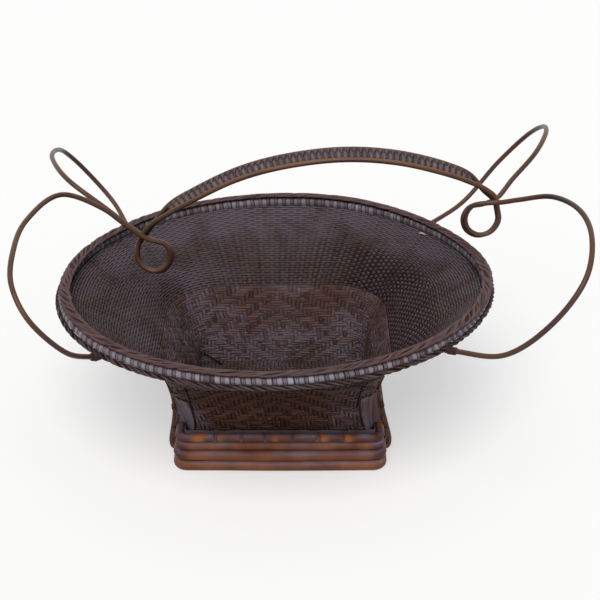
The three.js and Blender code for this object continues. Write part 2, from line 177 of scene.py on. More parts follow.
class BasketFoot(bpy.types.PropertyGroup):
    """Sizes of the foot and its stays."""

    band: length("Band", "Thickness of the flat band round the neck", 0.0017)
    band_corner: length("Band corner", "Inside corner radius of the band", 0.0005)
    band_lift: length("Band lift", "Its lower edge above the ground", 0.0015)
    band_proud: length("Band proud", "Its upper edge above the top rail", 0.0008)
    lower_rail: length("Lower rails", "Diameter of the two lower rails", 0.0096)
    upper_rail: length("Upper rails", "Diameter of the two upper rails", 0.0074)
    lashes: count("Lashings", "Lashings over the top rail on each side", 6)
    lash_pitch: length("Lashing pitch", "Between lashings", 0.022)
    stay_radius: length("Stay radius", "Of the stays at the sides", 0.002)
    stay_aside: length("Stay place", "From the middle of a side to its stays", 0.062)
    stay_foot: length("Stay foot", "Height of a stay's lower end", 0.008)
    stay_top: share("Stay top", "Place of a stay's upper end along the wall", 0.28)
    tie_place: share("Tie place", "Place of the binding along a stay", 0.8)


class BasketHandle(bpy.types.PropertyGroup):
    """Sizes of the handle."""

    cane_radius: length("Cane radius", "Of the two bent canes", 0.0022)
    core_radius: length("Core radius", "Of the two wound cores of the grip", 0.0032)
    core_end: share("Core end", "Share of that radius at the grip's ends", 0.45)
    core_taper: share("Core taper", "Share of the grip's length that tapers", 0.07)
    anchor_angle: angle("Anchor angle", "Of the canes' ends, from the X axis", 42.7)
    anchor_drop: length("Anchor drop", "Of the canes' ends below the hoop", 0.005)
    anchor_seat: length("Anchor seat", "Between a cane's end and the rope", 0.0008)
    wind_pitch: length("Winding pitch", "Between turns of the grip's winding", 0.0054)
    grip_rise: length("Grip rise", "How much higher the grip's rear cane stands", 0.0024)
    loop_sag: share("Loop sag", "Fall of the rear cane's loops, by their spread", 0.95)
    tie_length: length("Binding length", "Of the bindings at the rim and stays", 0.006)


class BasketColours(bpy.types.PropertyGroup):
    """Colours of the finishes."""

    weave_deep: colour("Weave, deep", "Dark side of the splints", (0.018, 0.009, 0.007))
    weave_warm: colour("Weave, warm", "Warm side of the splints", (0.120, 0.056, 0.040))
    # Grey bloom, dusty, and on the flare's top and rear also a painted sheen.
    dust: colour("Dust", "Grey bloom on the splints", (0.122, 0.100, 0.120))
    fine_deep: colour("Fine weave, deep", "Dark side of the fine weavers", (0.028, 0.017, 0.016))
    fine_warm: colour("Fine weave, warm", "Warm side of the fine weavers", (0.100, 0.062, 0.056))
    bare: colour("Bare splint", "Where a splint has broken", (0.560, 0.440, 0.270))
    # Also the painted shade in the rim's grooves.
    bead_deep: colour("Rim splint, deep", "In the grooves of the rim", (0.022, 0.013, 0.013))
    bead_warm: colour("Rim splint, warm", "On the turns of the rim", (0.130, 0.080, 0.074))
    # Polished turns of the rim, and a painted sheen on them.
    bead_worn: colour("Rim splint, worn", "Polished turns of the rim", (0.310, 0.297, 0.362))
    cord_deep: colour("Cord, deep", "Dark side of the cords", (0.030, 0.013, 0.011))
    cord_warm: colour("Cord, warm", "Warm side of the cords", (0.170, 0.081, 0.067))
    rail_deep: colour("Rail, deep", "Dark side of the rails", (0.060, 0.020, 0.011))
    rail_warm: colour("Rail, warm", "Warm side of the rails", (0.180, 0.062, 0.032))
    # Violet on the rails' tops: a dusty bloom and a painted sheen of the light from above.
    rail_dust: colour("Rail, dust", "Violet bloom on the rails", (0.168, 0.138, 0.180))
    rail_worn: colour("Rail, worn", "Where the rails are rubbed bare", (0.380, 0.130, 0.040))
    cane_deep: colour("Cane, deep", "Dark side of the canes", (0.034, 0.016, 0.008))
    cane_warm: colour("Cane, warm", "Warm side of the canes", (0.122, 0.050, 0.023))
    # Worn tops of the canes, and a painted highlight along them.
    cane_worn: colour("Cane, worn", "Along the canes' polished tops", (0.262, 0.118, 0.054))
    grip_deep: colour("Grip, deep", "Dark side of the grip's winding", (0.040, 0.024, 0.022))
    grip_warm: colour("Grip, warm", "Warm side of the grip's winding", (0.235, 0.170, 0.165))
    ground: colour("Ground", "Of the ground that the basket stands on", (0.97, 0.97, 0.97))
    sky: colour("Sky", "Of the light from all round", (0.94, 0.97, 1.0))
    lamp: colour("Lamp", "Of the soft lamp from above", (1.0, 0.98, 0.95))


class BasketStage(bpy.types.PropertyGroup):
    """Camera and light."""

    aim_height: length("Aim height", "Height that the camera looks at", 0.1201)
    elevation: angle("Elevation", "How steeply the camera looks down", 26.35)
    distance: length("Distance", "From the camera to its aim", 1.3)
    lens: bpy.props.FloatProperty(
        name="Lens", description="Focal length", default=88.26, unit="CAMERA")
    sky: bpy.props.FloatProperty(
        name="Sky", description="Strength of the light from all round", default=0.37)
    key: bpy.props.FloatProperty(
        name="Key", description="Strength of the soft lamp from above", default=2.6)
    lamp_width: angle("Lamp width", "How wide the soft lamp seems from the basket", 40)
    lamp_forward: angle("Lamp forward", "How far in front of straight above the lamp stands", 38)
    lamp_aside: angle("Lamp aside", "How far to the right of straight above it stands", -6)


GROUPS = {
    "basket_bowl": BasketBowl,
    "basket_weave": BasketWeave,
    "basket_rim": BasketRim,
    "basket_foot": BasketFoot,
    "basket_handle": BasketHandle,
    "basket_colours": BasketColours,
    "basket_stage": BasketStage,
}


# Materials


class Wire:
    """A socket of a material, on which sums and products add Math nodes."""

    def __init__(self, tree, socket=None):
        self.tree = tree
        self.socket = socket

    def fill(self, node, inputs):
        """Sets a node's sockets to values, or links them."""
        for key, value in inputs.items():
            if isinstance(value, Wire):
                self.tree.links.new(value.socket, node.inputs[key])
            else:
                node.inputs[key].default_value = value

    def node(self, kind, settings=None, inputs=None, output=0):
        """Adds a node, its settings first and then its sockets, and gives one of its outputs."""
        made = self.tree.nodes.new(kind)
        for key, value in (settings or {}).items():
            setattr(made, key, value)
        self.fill(made, inputs or {})
        return Wire(self.tree, made.outputs[output])

    def math(self, operation, first, second):
        return self.node("ShaderNodeMath", {"operation": operation}, {0: first, 1: second})

    def __add__(self, other):
        return self.math("ADD", self, other)

    def __radd__(self, other):
        return self.math("ADD", other, self)

    def __sub__(self, other):
        return self.math("SUBTRACT", self, other)

    def __rsub__(self, other):
        return self.math("SUBTRACT", other, self)

    def __mul__(self, other):
        return self.math("MULTIPLY", self, other)

    def __rmul__(self, other):
        return self.math("MULTIPLY", other, self)

    def within(self):
        """The value kept between nothing and one."""
        return self.node("ShaderNodeClamp", {}, {"Value": self})

    def attribute(self, name):
        return self.node("ShaderNodeAttribute", {"attribute_name": name}, {}, "Fac")

    def mix(self, factor, first, second):
        return self.node(
            "ShaderNodeMix", {"data_type": "RGBA"}, {0: factor, 6: first, 7: second}, 2)

    def stretch(self, vector, amounts):
        return self.node(
            "ShaderNodeVectorMath", {"operation": "MULTIPLY"}, {0: vector, 1: amounts})

    def noise(self, vector, scale, detail=3.0, rough=0.55):
        return self.node("ShaderNodeTexNoise", {}, {
            "Vector": vector, "Scale": scale, "Detail": detail, "Roughness": rough})


def solid(rgb):
    """A colour that hides what is behind it."""
    return (*rgb, 1.0)


STREAK_STRETCH = (0.16, 0.03, 1.0)  # streaks run along a strand
BLOTCH_SCALE = 34.0
FLECK_SCALE = 620.0
GRAIN_HEIGHT = 0.00012


def reed_finish(
        name, deep, warm, bloom, worn, rough=0.5, grain=260.0, coat=0.0, seam=0.0, shine=0.06):
    """Split reed or cane: grain along the strand, a grey bloom that is dusty and on some pieces a painted
    sheen, rubbed crests that on the canes and the rim are also painted highlights, and painted shade
    towards each strand's edges.
    """
    material = bpy.data.materials.new(name)
    material.use_nodes = True
    tree = material.node_tree
    wire = Wire(tree)
    tone = wire.attribute("tone")
    wear = wire.attribute("wear")
    patina = wire.attribute("patina")
    chart = wire.node("ShaderNodeUVMap", {"uv_map": "strand"})
    place = wire.node("ShaderNodeTexCoord", {}, {}, "Object")
    streak = wire.noise(wire.stretch(chart, STREAK_STRETCH), grain, 2.0)
    blotch = wire.noise(place, BLOTCH_SCALE, 4.0, 0.6)
    fleck = wire.noise(place, FLECK_SCALE, 2.0)
    blend = (0.72 * tone + 0.7 * streak - 0.26).within()
    base = wire.mix(blend, solid(deep), solid(warm))
    cover = ((blotch * 1.8 - 0.5) * patina + 0.3 * (fleck - 0.5) * patina).within()
    # The bloom colour lies on as a dusty cover, and in places as a painted sheen.
    dusted_and_sheened = wire.mix(cover, base, solid(bloom))
    # The worn colour is rubbing, and on the canes and the rim also a painted highlight.
    rubbed = (wear * (0.5 + 1.1 * (blotch - 0.3))).within()
    surface = wire.mix(rubbed, dusted_and_sheened, solid(worn))
    # Painted shade: each strand darkens towards its edges, where it meets its neighbours.
    if seam:
        across = wire.node("ShaderNodeSeparateXYZ", {}, {"Vector": chart}, "Y")
        edge = wire.math("ABSOLUTE", across * 2.0 - 1.0, 0.0)
        dark = wire.node("ShaderNodeMapRange", {"interpolation_type": "SMOOTHSTEP"}, {
            "Value": edge, "From Min": 0.45, "From Max": 1.0, "To Max": seam})
        surface = wire.mix(dark, surface, solid([0.2 * value for value in deep]))
    relief = wire.node("ShaderNodeBump", {}, {
        "Strength": 0.7, "Distance": GRAIN_HEIGHT, "Height": streak + 0.4 * fleck})
    wire.fill(tree.nodes["Principled BSDF"], {
        "Base Color": surface,
        "Roughness": (rough + 0.30 * (blotch - 0.5) + 0.12 * (streak - 0.5)).within(),
        "Specular IOR Level": shine,
        "Coat Weight": coat,
        "Coat Roughness": 0.25,
        "Normal": relief,
    })
    return material


# Shapes


def smooth(value):
    """A soft step from nothing to one."""
    value = np.clip(value, 0, 1)
    return value * value * (3 - 2 * value)


def plan(turn, half, corner):
    """A place on a square with round corners, at a turn from the middle of its +X side."""
    straight = half - corner
    arc = corner * math.pi / 2
    quarter = np.floor(turn * 4 + 1e-9)
    way = (turn * 4 - quarter) * (2 * straight + arc)
    bend = np.clip((way - straight) / np.maximum(corner, 1e-9), 0, math.pi / 2)
    x = np.minimum(straight, straight + arc + straight - way) + corner * np.cos(bend)
    x = np.where(way > straight + arc, straight - (way - straight - arc), x)
    y = np.where(way > straight + arc, half, np.minimum(way, straight) + corner * np.sin(bend))
    turned = quarter * math.pi / 2
    return x * np.cos(turned) - y * np.sin(turned), x * np.sin(turned) + y * np.cos(turned)


def perimeter(half, corner):
    """The way round a square with round corners."""
    return 4 * (2 * (half - corner) + corner * math.pi / 2)


def on_foot(x, y, z):
    """Places from their distances to the foot's middle and their heights."""
    return np.stack([x + FOOT_X, y, z], axis=-1)


class Bowl:
    """Places on the basket, by turn round it, share of the wall's length and distance out."""

    dip_turn = 0.075
    dip_reach = 0.14
    upright_points = 60
    flare_points = 400

    def __init__(self, scene):
        self.bowl = scene.basket_bowl
        self.rim = scene.basket_rim
        foot = scene.basket_foot
        gap = self.rim.clearance
        self.rail_seat = self.bowl.neck_half + gap + foot.band + gap
        self.rail_corner = foot.band_corner + foot.band + gap
        self.lower_top = 2 * foot.lower_rail + gap
        self.top_rail = self.lower_top + 2 * gap + 1.5 * foot.upper_rail
        self.foot_top = self.top_rail + foot.upper_rail / 2 + foot.band_proud
        aim = np.array([math.cos(self.bowl.slope), math.sin(self.bowl.slope)])
        mouth = np.array([self.rim.radius, self.rim.height]) - aim * (self.rim.core_radius + gap)
        mouth += np.array([aim[1], -aim[0]]) * self.bowl.wall / 2
        neck = np.array([self.bowl.neck_half, self.bowl.neck_top])
        start = self.bowl.start
        hold = neck + self.bowl.stiffness * np.array([math.sin(start), math.cos(start)])
        pull = mouth - aim * self.bowl.reach
        t = np.linspace(0, 1, self.flare_points)[:, None]
        flare = (1 - t) ** 3 * neck + 3 * (1 - t) ** 2 * t * hold
        flare += 3 * (1 - t) * t * t * pull + t ** 3 * mouth
        base = np.array([self.bowl.neck_half, self.bowl.floor_height])
        upright = np.linspace(base, neck, self.upright_points, endpoint=False)
        self.line = np.concatenate([upright, flare])
        gone = np.concatenate([[0], np.cumsum(np.hypot(*np.diff(self.line, axis=0).T))])
        self.length = gone[-1]
        self.shares = gone / self.length
        self.lie = np.gradient(self.line, gone, axis=0)
        self.mouth = mouth

    def lean(self, x, y, z):
        """The bowl leans and tilts above its foot, and dips and widens further up."""
        part = np.clip((z - self.foot_top) / (self.bowl.lean_top - self.foot_top), 0, 1)
        fall = self.bowl.mouth_fall * (1 + y / self.rim.radius) / 2
        risen = z + (self.bowl.mouth_tilt * x - fall) * part
        high = np.clip((z - self.bowl.lean_top) / (self.rim.height - self.bowl.lean_top), 0, 1)
        away = np.abs(np.arctan2(y, x) - TAU * self.dip_turn) / (TAU * self.dip_reach)
        risen = risen - self.bowl.mouth_dip * smooth(1 - away) * high
        wide = x * (1 + self.bowl.mouth_widen / self.rim.radius * high)
        return on_foot(wide + self.bowl.mouth_shift * part, y, risen)

    def edge(self, part, out):
        """Half width, corner radius and height of the wall at a share of its length."""
        reach, height, lie_out, lie_up = (
            np.interp(part, self.shares, values) for values in (*self.line.T, *self.lie.T))
        opening = (reach - self.bowl.neck_half) / (self.mouth[0] - self.bowl.neck_half)
        corner = self.bowl.neck_corner
        corner = corner + (reach - corner) * np.sqrt(np.clip(opening, 0, 1))
        return reach + out * lie_up, corner + out * lie_up, height - out * lie_out

    def wall(self, turn, part, out):
        """Places at a turn, a share of the wall's length and a distance out of its outside."""
        half, corner, height = self.edge(part, out)
        x, y = plan(turn % 1.0, half, corner)
        return self.lean(x, y, height)

    def round_rim(self, turn, out, up):
        """Places at a turn, and at distances out and up from the middle of the hoop."""
        reach = self.rim.radius + out
        return self.lean(
            reach * np.cos(TAU * turn), reach * np.sin(TAU * turn), self.rim.height + up)


class Strands:
    """Flat grids, one for each strand, whose points are then laid along and round it."""

    def __init__(self, number, steps, sides, boxed=False):
        bm = bmesh.new()
        for _ in range(number):
            bmesh.ops.create_grid(bm, x_segments=steps, y_segments=sides, size=1)
        self.mesh = bpy.data.meshes.new("strands")
        bm.to_mesh(self.mesh)
        bm.free()
        flat = np.empty(len(self.mesh.vertices) * 3)
        self.mesh.vertices.foreach_get("co", flat)
        flat = flat.reshape(-1, 3)
        self.strand = np.arange(len(flat)) // ((steps + 1) * (sides + 1))
        self.along = (flat[:, 0] + 1) / 2
        self.step = np.rint(self.along * steps).astype(int)
        self.steps = steps
        self.round = math.pi * (flat[:, 1] + 1)
        turned = self.round + (math.pi / 4 if boxed else 0)
        wide = math.sqrt(2) if boxed else 1
        self.across = wide * np.cos(turned)
        self.lift = wide * np.sin(turned)

    def close_ends(self):
        """Keeps one step at each end for a flat cap, and draws its rim together."""
        self.along = np.clip((self.step - 1) / (self.steps - 2), 0, 1)
        ends = (self.step == 0) | (self.step == self.steps)
        self.across = np.where(ends, 0, self.across)
        self.lift = np.where(ends, 0, self.lift)
        return self

    def lay(self, places, run, tone, wear=0.0, patina=1.0, edge=None, offset=0.731):
        """Puts every point in its place, with its look, and a chart by its way along and by its edge,
        which sets where painted shade darkens it.

        The run is a strand's length, and the offset sets its grain apart from its neighbours'.
        """
        self.mesh.vertices.foreach_set("co", np.asarray(places, dtype=np.float32).ravel())
        number = len(self.strand)
        for name, value in (("tone", np.clip(tone, 0, 1)), ("wear", wear), ("patina", patina)):
            values = np.broadcast_to(np.asarray(value, dtype=np.float32), number)
            self.mesh.attributes.new(name, "FLOAT", "POINT").data.foreach_set("value", values.copy())
        corners = np.empty(len(self.mesh.loops), dtype=np.int32)
        self.mesh.loops.foreach_get("vertex_index", corners)
        across = self.across if edge is None else np.broadcast_to(edge, number)
        chart = np.stack([self.along * run + self.strand * offset, (across + 1) / 2], axis=1)
        layer = self.mesh.uv_layers.new(name="strand")
        layer.data.foreach_set("uv", chart[corners].astype(np.float32).ravel())
        return self


def flat_strips(number, steps):
    """Strands with a flat section and closed ends."""
    return Strands(number, steps, 4, True).close_ends()


def drift(along, strand, rng, waves):
    """A slow wave along each strand, about one high, which closes on itself."""
    total = np.zeros(len(along))
    for k in range(1, waves + 1):
        phase = rng.uniform(0, TAU, strand.max() + 1)
        total += np.sin(TAU * k * along + phase[strand]) / math.sqrt(waves)
    return total


def add_piece(name, parts, finish, nodes):
    """Joins laid strands into one piece, closes their seams and sets it in the frame."""
    bm = bmesh.new()
    for part in parts:
        bm.from_mesh(part.mesh)
        bpy.data.meshes.remove(part.mesh)
    bmesh.ops.remove_doubles(bm, verts=bm.verts, dist=1e-6)
    bmesh.ops.recalc_face_normals(bm, faces=bm.faces)
    mesh = bpy.data.meshes.new(name)
    bm.to_mesh(mesh)
    bm.free()
    mesh.shade_smooth()
    mesh.materials.append(finish)
    piece = bpy.data.objects.new(name, mesh)
    bpy.context.scene.collection.objects.link(piece)
    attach(piece, "root")
    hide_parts(*nodes)


def bent_line(points, number, finer=40):
    """A smooth line through the points, as a cane bends, at even steps, and its length."""
    points = np.asarray(points, dtype=float)
    padded = np.concatenate([[2 * points[0] - points[1]], points, [2 * points[-1] - points[-2]]])
    t = np.linspace(0, 1, finer, endpoint=False)[:, None]
    pieces = []
    for p0, p1, p2, p3 in zip(padded, padded[1:], padded[2:], padded[3:]):
        d0, d1, d2 = (math.sqrt(np.linalg.norm(b - a)) for a, b in ((p0, p1), (p1, p2), (p2, p3)))
        start = ((p1 - p0) / d0 - (p2 - p0) / (d0 + d1) + (p2 - p1) / d1) * d1
        end = ((p2 - p1) / d1 - (p3 - p1) / (d1 + d2) + (p3 - p2) / d2) * d1
        bend2 = -3 * p1 + 3 * p2 - 2 * start - end
        bend3 = 2 * p1 - 2 * p2 + start + end
        pieces.append(p1 + start * t + bend2 * t ** 2 + bend3 * t ** 3)
    line = np.concatenate(pieces + [points[-1:]])
    gone = np.concatenate([[0], np.cumsum(np.linalg.norm(np.diff(line, axis=0), axis=1))])
    even = np.linspace(0, gone[-1], number)
    return np.stack([np.interp(even, gone, line[:, i]) for i in range(3)], axis=1), gone[-1]


def heading(line):
    """The direction of a line at each of its points."""
    lie = np.gradient(line, axis=0)
    return lie / np.linalg.norm(lie, axis=1)[:, None]


def carried_frame(line):
    """A line's direction, and two across it that turn with it as little as they can."""
    lie = heading(line)
    first = np.cross(lie[0], [0.3, 0.2, 1.0])
    normals = [first / np.linalg.norm(first)]
    for direction in lie[1:]:
        normal = normals[-1] - direction * np.dot(normals[-1], direction)
        normals.append(normal / np.linalg.norm(normal))
    normals = np.array(normals)
    return lie, normals, np.cross(lie, normals)


def rods(lines, sides, radius):
    """Round rods with flat ends along the lines. The radius is a function of the way along."""
    strands = Strands(len(lines), len(lines[0]) + 1, sides).close_ends()
    places = np.empty((len(strands.strand), 3))
    for i, line in enumerate(lines):
        mine = strands.strand == i
        _, normal, binormal = carried_frame(line)
        at = np.clip(strands.step[mine] - 1, 0, len(line) - 1)
        far = radius(strands.along[mine])
        places[mine] = line[at]
        places[mine] += normal[at] * (far * strands.across[mine])[:, None]
        places[mine] += binormal[at] * (far * strands.lift[mine])[:, None]
    return strands, places


def coils(lines, starts, ends, turns, radius, strip, steps=14):
    """Strips, so wide and so thick, wound round the lines between two shares of their length."""
    strands = Strands(len(lines), turns * steps + 2, 4).close_ends()
    places = np.empty((len(strands.strand), 3))
    for i, line in enumerate(lines):
        mine = strands.strand == i
        lie, normal, binormal = carried_frame(line)
        where = starts[i] + (ends[i] - starts[i]) * strands.along[mine]
        at = where * (len(line) - 1)
        low = np.clip(at.astype(int), 0, len(line) - 2)
        part = (at - low)[:, None]
        middle = line[low] * (1 - part) + line[low + 1] * part
        swing = TAU * turns * strands.along[mine]
        out = normal[low] * np.cos(swing)[:, None] + binormal[low] * np.sin(swing)[:, None]
        far = radius + strip[1] * (0.5 + 0.5 * strands.lift[mine])
        places[mine] = middle + out * far[:, None]
        places[mine] += lie[low] * (strip[0] / 2 * strands.across[mine])[:, None]
    return strands, places


# Pieces


class BasketOperator:
    """What the operators share: chance, and finishes in the basket's colours."""

    bl_options = {"REGISTER"}

    def rng(self, context, number):
        """Chance of its own for each piece."""
        return np.random.default_rng(context.scene.basket_weave.seed * 1000 + number)

    def finish(self, context, name, colours, **look):
        """A finish whose deep, warm, bloom and worn colours are given by their names."""
        group = context.scene.basket_colours
        return reed_finish(name, *(getattr(group, colour) for colour in colours.split()), **look)


CHANCES = 4099  # in a table of chances, a prime number so that rows don't fall into step
TWILL_MIDDLE = 12  # row at the middle of the twill's diamonds
TWILL_FLOAT = 3  # crossings in a float
TWILL_SLIPS = 0.09  # share of crossings that go wrong
STAGGER = 0.00006  # between neighbours, so that no two splints lie in one plane


def twill_middle(stake, weave):
    """How many stakes lie between a stake and the middle of its side."""
    return np.abs((stake + weave.stakes // 2) % weave.stakes - weave.stakes // 2)


def twill_float(stake, row, weave):
    """Number of the float, counted from the middle of a diamond."""
    away = twill_middle(stake, weave) + np.abs(row - TWILL_MIDDLE)
    return (away + TWILL_FLOAT - 1) // TWILL_FLOAT


def twill(stake, row, weave):
    """Over and under in a twill of diamonds: one where a weaver lies outside its stake."""
    chance = np.random.default_rng(weave.seed).random(CHANCES)
    slip = chance[(131 * stake + 17 * row) % CHANCES] < TWILL_SLIPS
    return np.where((twill_float(stake, row, weave) % 2 == 0) != slip, 1.0, -1.0)


FLOOR_TUCK = 0.7  # how far the floor's splints reach into the wall, as a share of it
FLOOR_GIRTH = 0.54  # half a floor splint's width, as a share of the pitch
# A dark strip at the floor's rear left, a painted shadow in a crack: its ends from the middle of the
# floor's top, and half sizes.
CRACK_ENDS = ((-0.0755, 0.0765, 0.0095), (-0.0570, 0.0690, 0.0006))
CRACK_HALF = (0.0003, 0.0009)


class BASKET_OT_floor(BasketOperator, bpy.types.Operator):
    """Weaves the basket's floor from two sets of splints"""

    bl_idname = "basket.floor"
    bl_label = "Woven floor"

    def execute(self, context):
        scene = context.scene
        bowl = Bowl(scene)
        weave = scene.basket_weave
        rng = self.rng(context, 1)
        half = bowl.bowl.neck_half - bowl.bowl.wall - bowl.rim.clearance
        corner = bowl.bowl.neck_corner - bowl.bowl.wall - bowl.rim.clearance
        number = weave.floor_splints
        pitch = 2 * half / number
        parts = []
        for way in (0, 1):
            splints = flat_strips(number, 2 * number + 2)
            offset = (splints.strand + 0.5) * pitch - half
            into = np.clip(np.abs(offset) - (half - corner), 0, corner)
            reach = half - corner + np.sqrt(corner ** 2 - into ** 2) + FLOOR_TUCK * bowl.bowl.wall
            along = (2 * splints.along - 1) * reach
            cell = np.floor((along + half) / pitch)
            step = cell - splints.strand if way else splints.strand - cell
            over = np.where(step % 4 < 2, 1.0, -1.0)
            level = bowl.bowl.floor_height + bowl.bowl.wall / 2
            up = level + (over if way else -over) * weave.twill_wave
            up = up + weave.splint / 2 * splints.lift
            up = up + STAGGER * (splints.strand % 2)
            aside = offset + FLOOR_GIRTH * pitch * splints.across
            x, y = (along, aside) if way else (aside, along)
            tone = rng.uniform(0, 0.3, number)[splints.strand]
            parts.append(splints.lay(on_foot(x, y, up), 2 * half, tone, wear=0.1, patina=0.8))
        # Painted shadow of a crack: a flat dark strip on the floor.
        crack = flat_strips(1, 14)
        floor_top = bowl.bowl.floor_height + bowl.bowl.wall
        start, end = (np.array(point) + (FOOT_X, 0, floor_top) for point in CRACK_ENDS)
        places = start + (end - start) * crack.along[:, None]
        places[:, 1] += CRACK_HALF[0] * crack.lift
        places[:, 2] += CRACK_HALF[1] * crack.across
        parts.append(crack.lay(places, run=0.02, tone=0.0, patina=0.0, edge=1.0))
        finish = self.finish(
            context, "floor_splint", "weave_deep weave_warm dust weave_warm",
            rough=0.55, seam=0.8, shine=0.04)
        add_piece("floor_splints", parts, finish, ["floor_mat"])
        return {"FINISHED"}


class BASKET_OT_neck(BasketOperator, bpy.types.Operator):
    """Weaves the neck and lower flare in a twill of diamonds"""

    bl_idname = "basket.neck"
    bl_label = "Twill neck"

    def execute(self, context):
        scene = context.scene
        bowl = Bowl(scene)
        weave = scene.basket_weave
        rng = self.rng(context, 2)
        rows = weave.twill_rows
        around = 4 * weave.stakes
        top = bowl.bowl.twill_share
        mid = -bowl.bowl.wall / 2
        chance = np.clip(rng.normal(0.45, 0.42, CHANCES), 0, 1)

        def look(strands, stake, row, part, places, keys):
            """Tone, grey and dark edge of each float: grey inside, at corners and to the right, a painted
            shadow of the rim outside towards the top, and painted shade at the edges.
            """
            number = twill_float(stake, row, weave)
            tone = chance[(keys + 977 * number) % CHANCES]
            dusty = 0.45 + 1.1 * chance[(13 * keys + 411 * number) % CHANCES]
            corner = smooth((twill_middle(stake, weave) - 14) / 5)
            facing = smooth(np.abs(np.sin(TAU * stake / around)) * 3.3 - 1.6)
            high = smooth(part / top * 1.6 - 0.4)
            inward = (1.1 + facing + 0.8 * corner) * (1 - high)
            left = smooth((FOOT_X - 0.03 - places[:, 0]) / 0.04)
            inward = inward + (0.9 + 0.7 * left - 0.45 * facing * (1 - corner)) * high
            last = smooth((part / top - 0.84) / 0.12)
            inward = inward * (1 - last) + 1.2 * last
            right = smooth((places[:, 0] - FOOT_X - 0.03) / 0.04)
            # Painted shadow of the rim: outside, the twill darkens and greys less towards its top.
            clear_of_rim_shadow = 1 - smooth((part - 0.25) / 0.08)
            outward = 0.02 + 2.0 * np.maximum(0.7 * corner, right) * (0.35 + 0.65 * clear_of_rim_shadow)
            inside = strands.lift < 0
            tone = np.where(inside, tone, tone ** 1.6 * (0.3 + 0.7 * clear_of_rim_shadow))
            # Painted shade at the floats' edges, softer inside.
            edge = strands.across * np.where(inside, 0.7, 1)
            return tone, np.where(inside, inward, outward) * dusty, edge

        stakes = flat_strips(around, rows + 3)
        row = np.clip(stakes.step - 2, 0, rows - 1)
        part = np.clip((stakes.step - 1.5) / rows, 0, 1) * top
        over = -twill(stakes.strand, row, weave)
        sway = 0.07 * drift(stakes.along * 0.5, stakes.strand, rng, 4)
        girth = 0.46 + 0.03 * drift(stakes.along * 0.5, stakes.strand, rng, 5)
        turn = (stakes.strand + sway + girth * stakes.across) / around
        out = mid + weave.twill_wave * over + weave.splint / 2 * stakes.lift
        places = bowl.wall(turn, part, out)
        tone, grey, edge = look(stakes, stakes.strand, row, part, places, 31 * stakes.strand)
        # Painted light: the stakes are darker than the level weavers, whose lighter tone stands for the
        # light they catch.
        stakes.lay(places, top * bowl.length, 0.5 * tone, wear=0.1, patina=grey, edge=edge)

        weavers = Strands(rows, around, 4, True)
        stake = weavers.step % around
        over = twill(stake, weavers.strand, weave)
        pitch = top / rows
        shared_jog = 0.0004
        own_jog = 0.00006
        jog = shared_jog * drift(weavers.along, 0 * weavers.strand, rng, 24)
        jog = (jog + own_jog * drift(weavers.along, weavers.strand, rng, 24)) / bowl.length
        girth = 0.55 + 0.03 * drift(weavers.along, weavers.strand, rng, 40)
        jog = jog * smooth((rows - 0.5 - weavers.strand) / 3)
        part = (weavers.strand + 0.5) * pitch + jog + girth * pitch * weavers.across
        out = mid + weave.twill_wave * over + weave.splint / 2 * weavers.lift
        out = out + STAGGER * (weavers.strand % 2)
        places = bowl.wall(weavers.along, np.clip(part, 0, top), out)
        keys = 53 * weavers.strand + 7 * (stake * 8 // around)
        tone, grey, edge = look(weavers, stake, weavers.strand, part, places, keys)
        weavers.lay(places, run=0.6, tone=0.15 + 0.8 * tone, wear=0.15, patina=grey, edge=edge)

        finish = self.finish(
            context, "twill_splint", "weave_deep weave_warm dust rail_warm", rough=0.5, seam=0.85)
        add_piece("neck_twill", [stakes, weavers], finish, ["neck_weave"])
        return {"FINISHED"}


STAKE_HALF = 0.00035  # half thickness of a stake in the flare
WEAVER_HALF = 0.00045  # and of a fine weaver
WEAVER_GIRTH = 0.57  # half a fine weaver's width, as a share of the pitch
# A pale broken splint under the right rear of the rim: its start and run in turns, its place, rise
# and half width as shares of the wall's length, how far it stands off and its half thickness.
CHIP_TURN = 0.1120
CHIP_RUN = 0.0070
CHIP_PLACE = 0.956
CHIP_RISE = 0.008
CHIP_GIRTH = 0.009
CHIP_STAND = 0.0012
CHIP_HALF = 0.0004


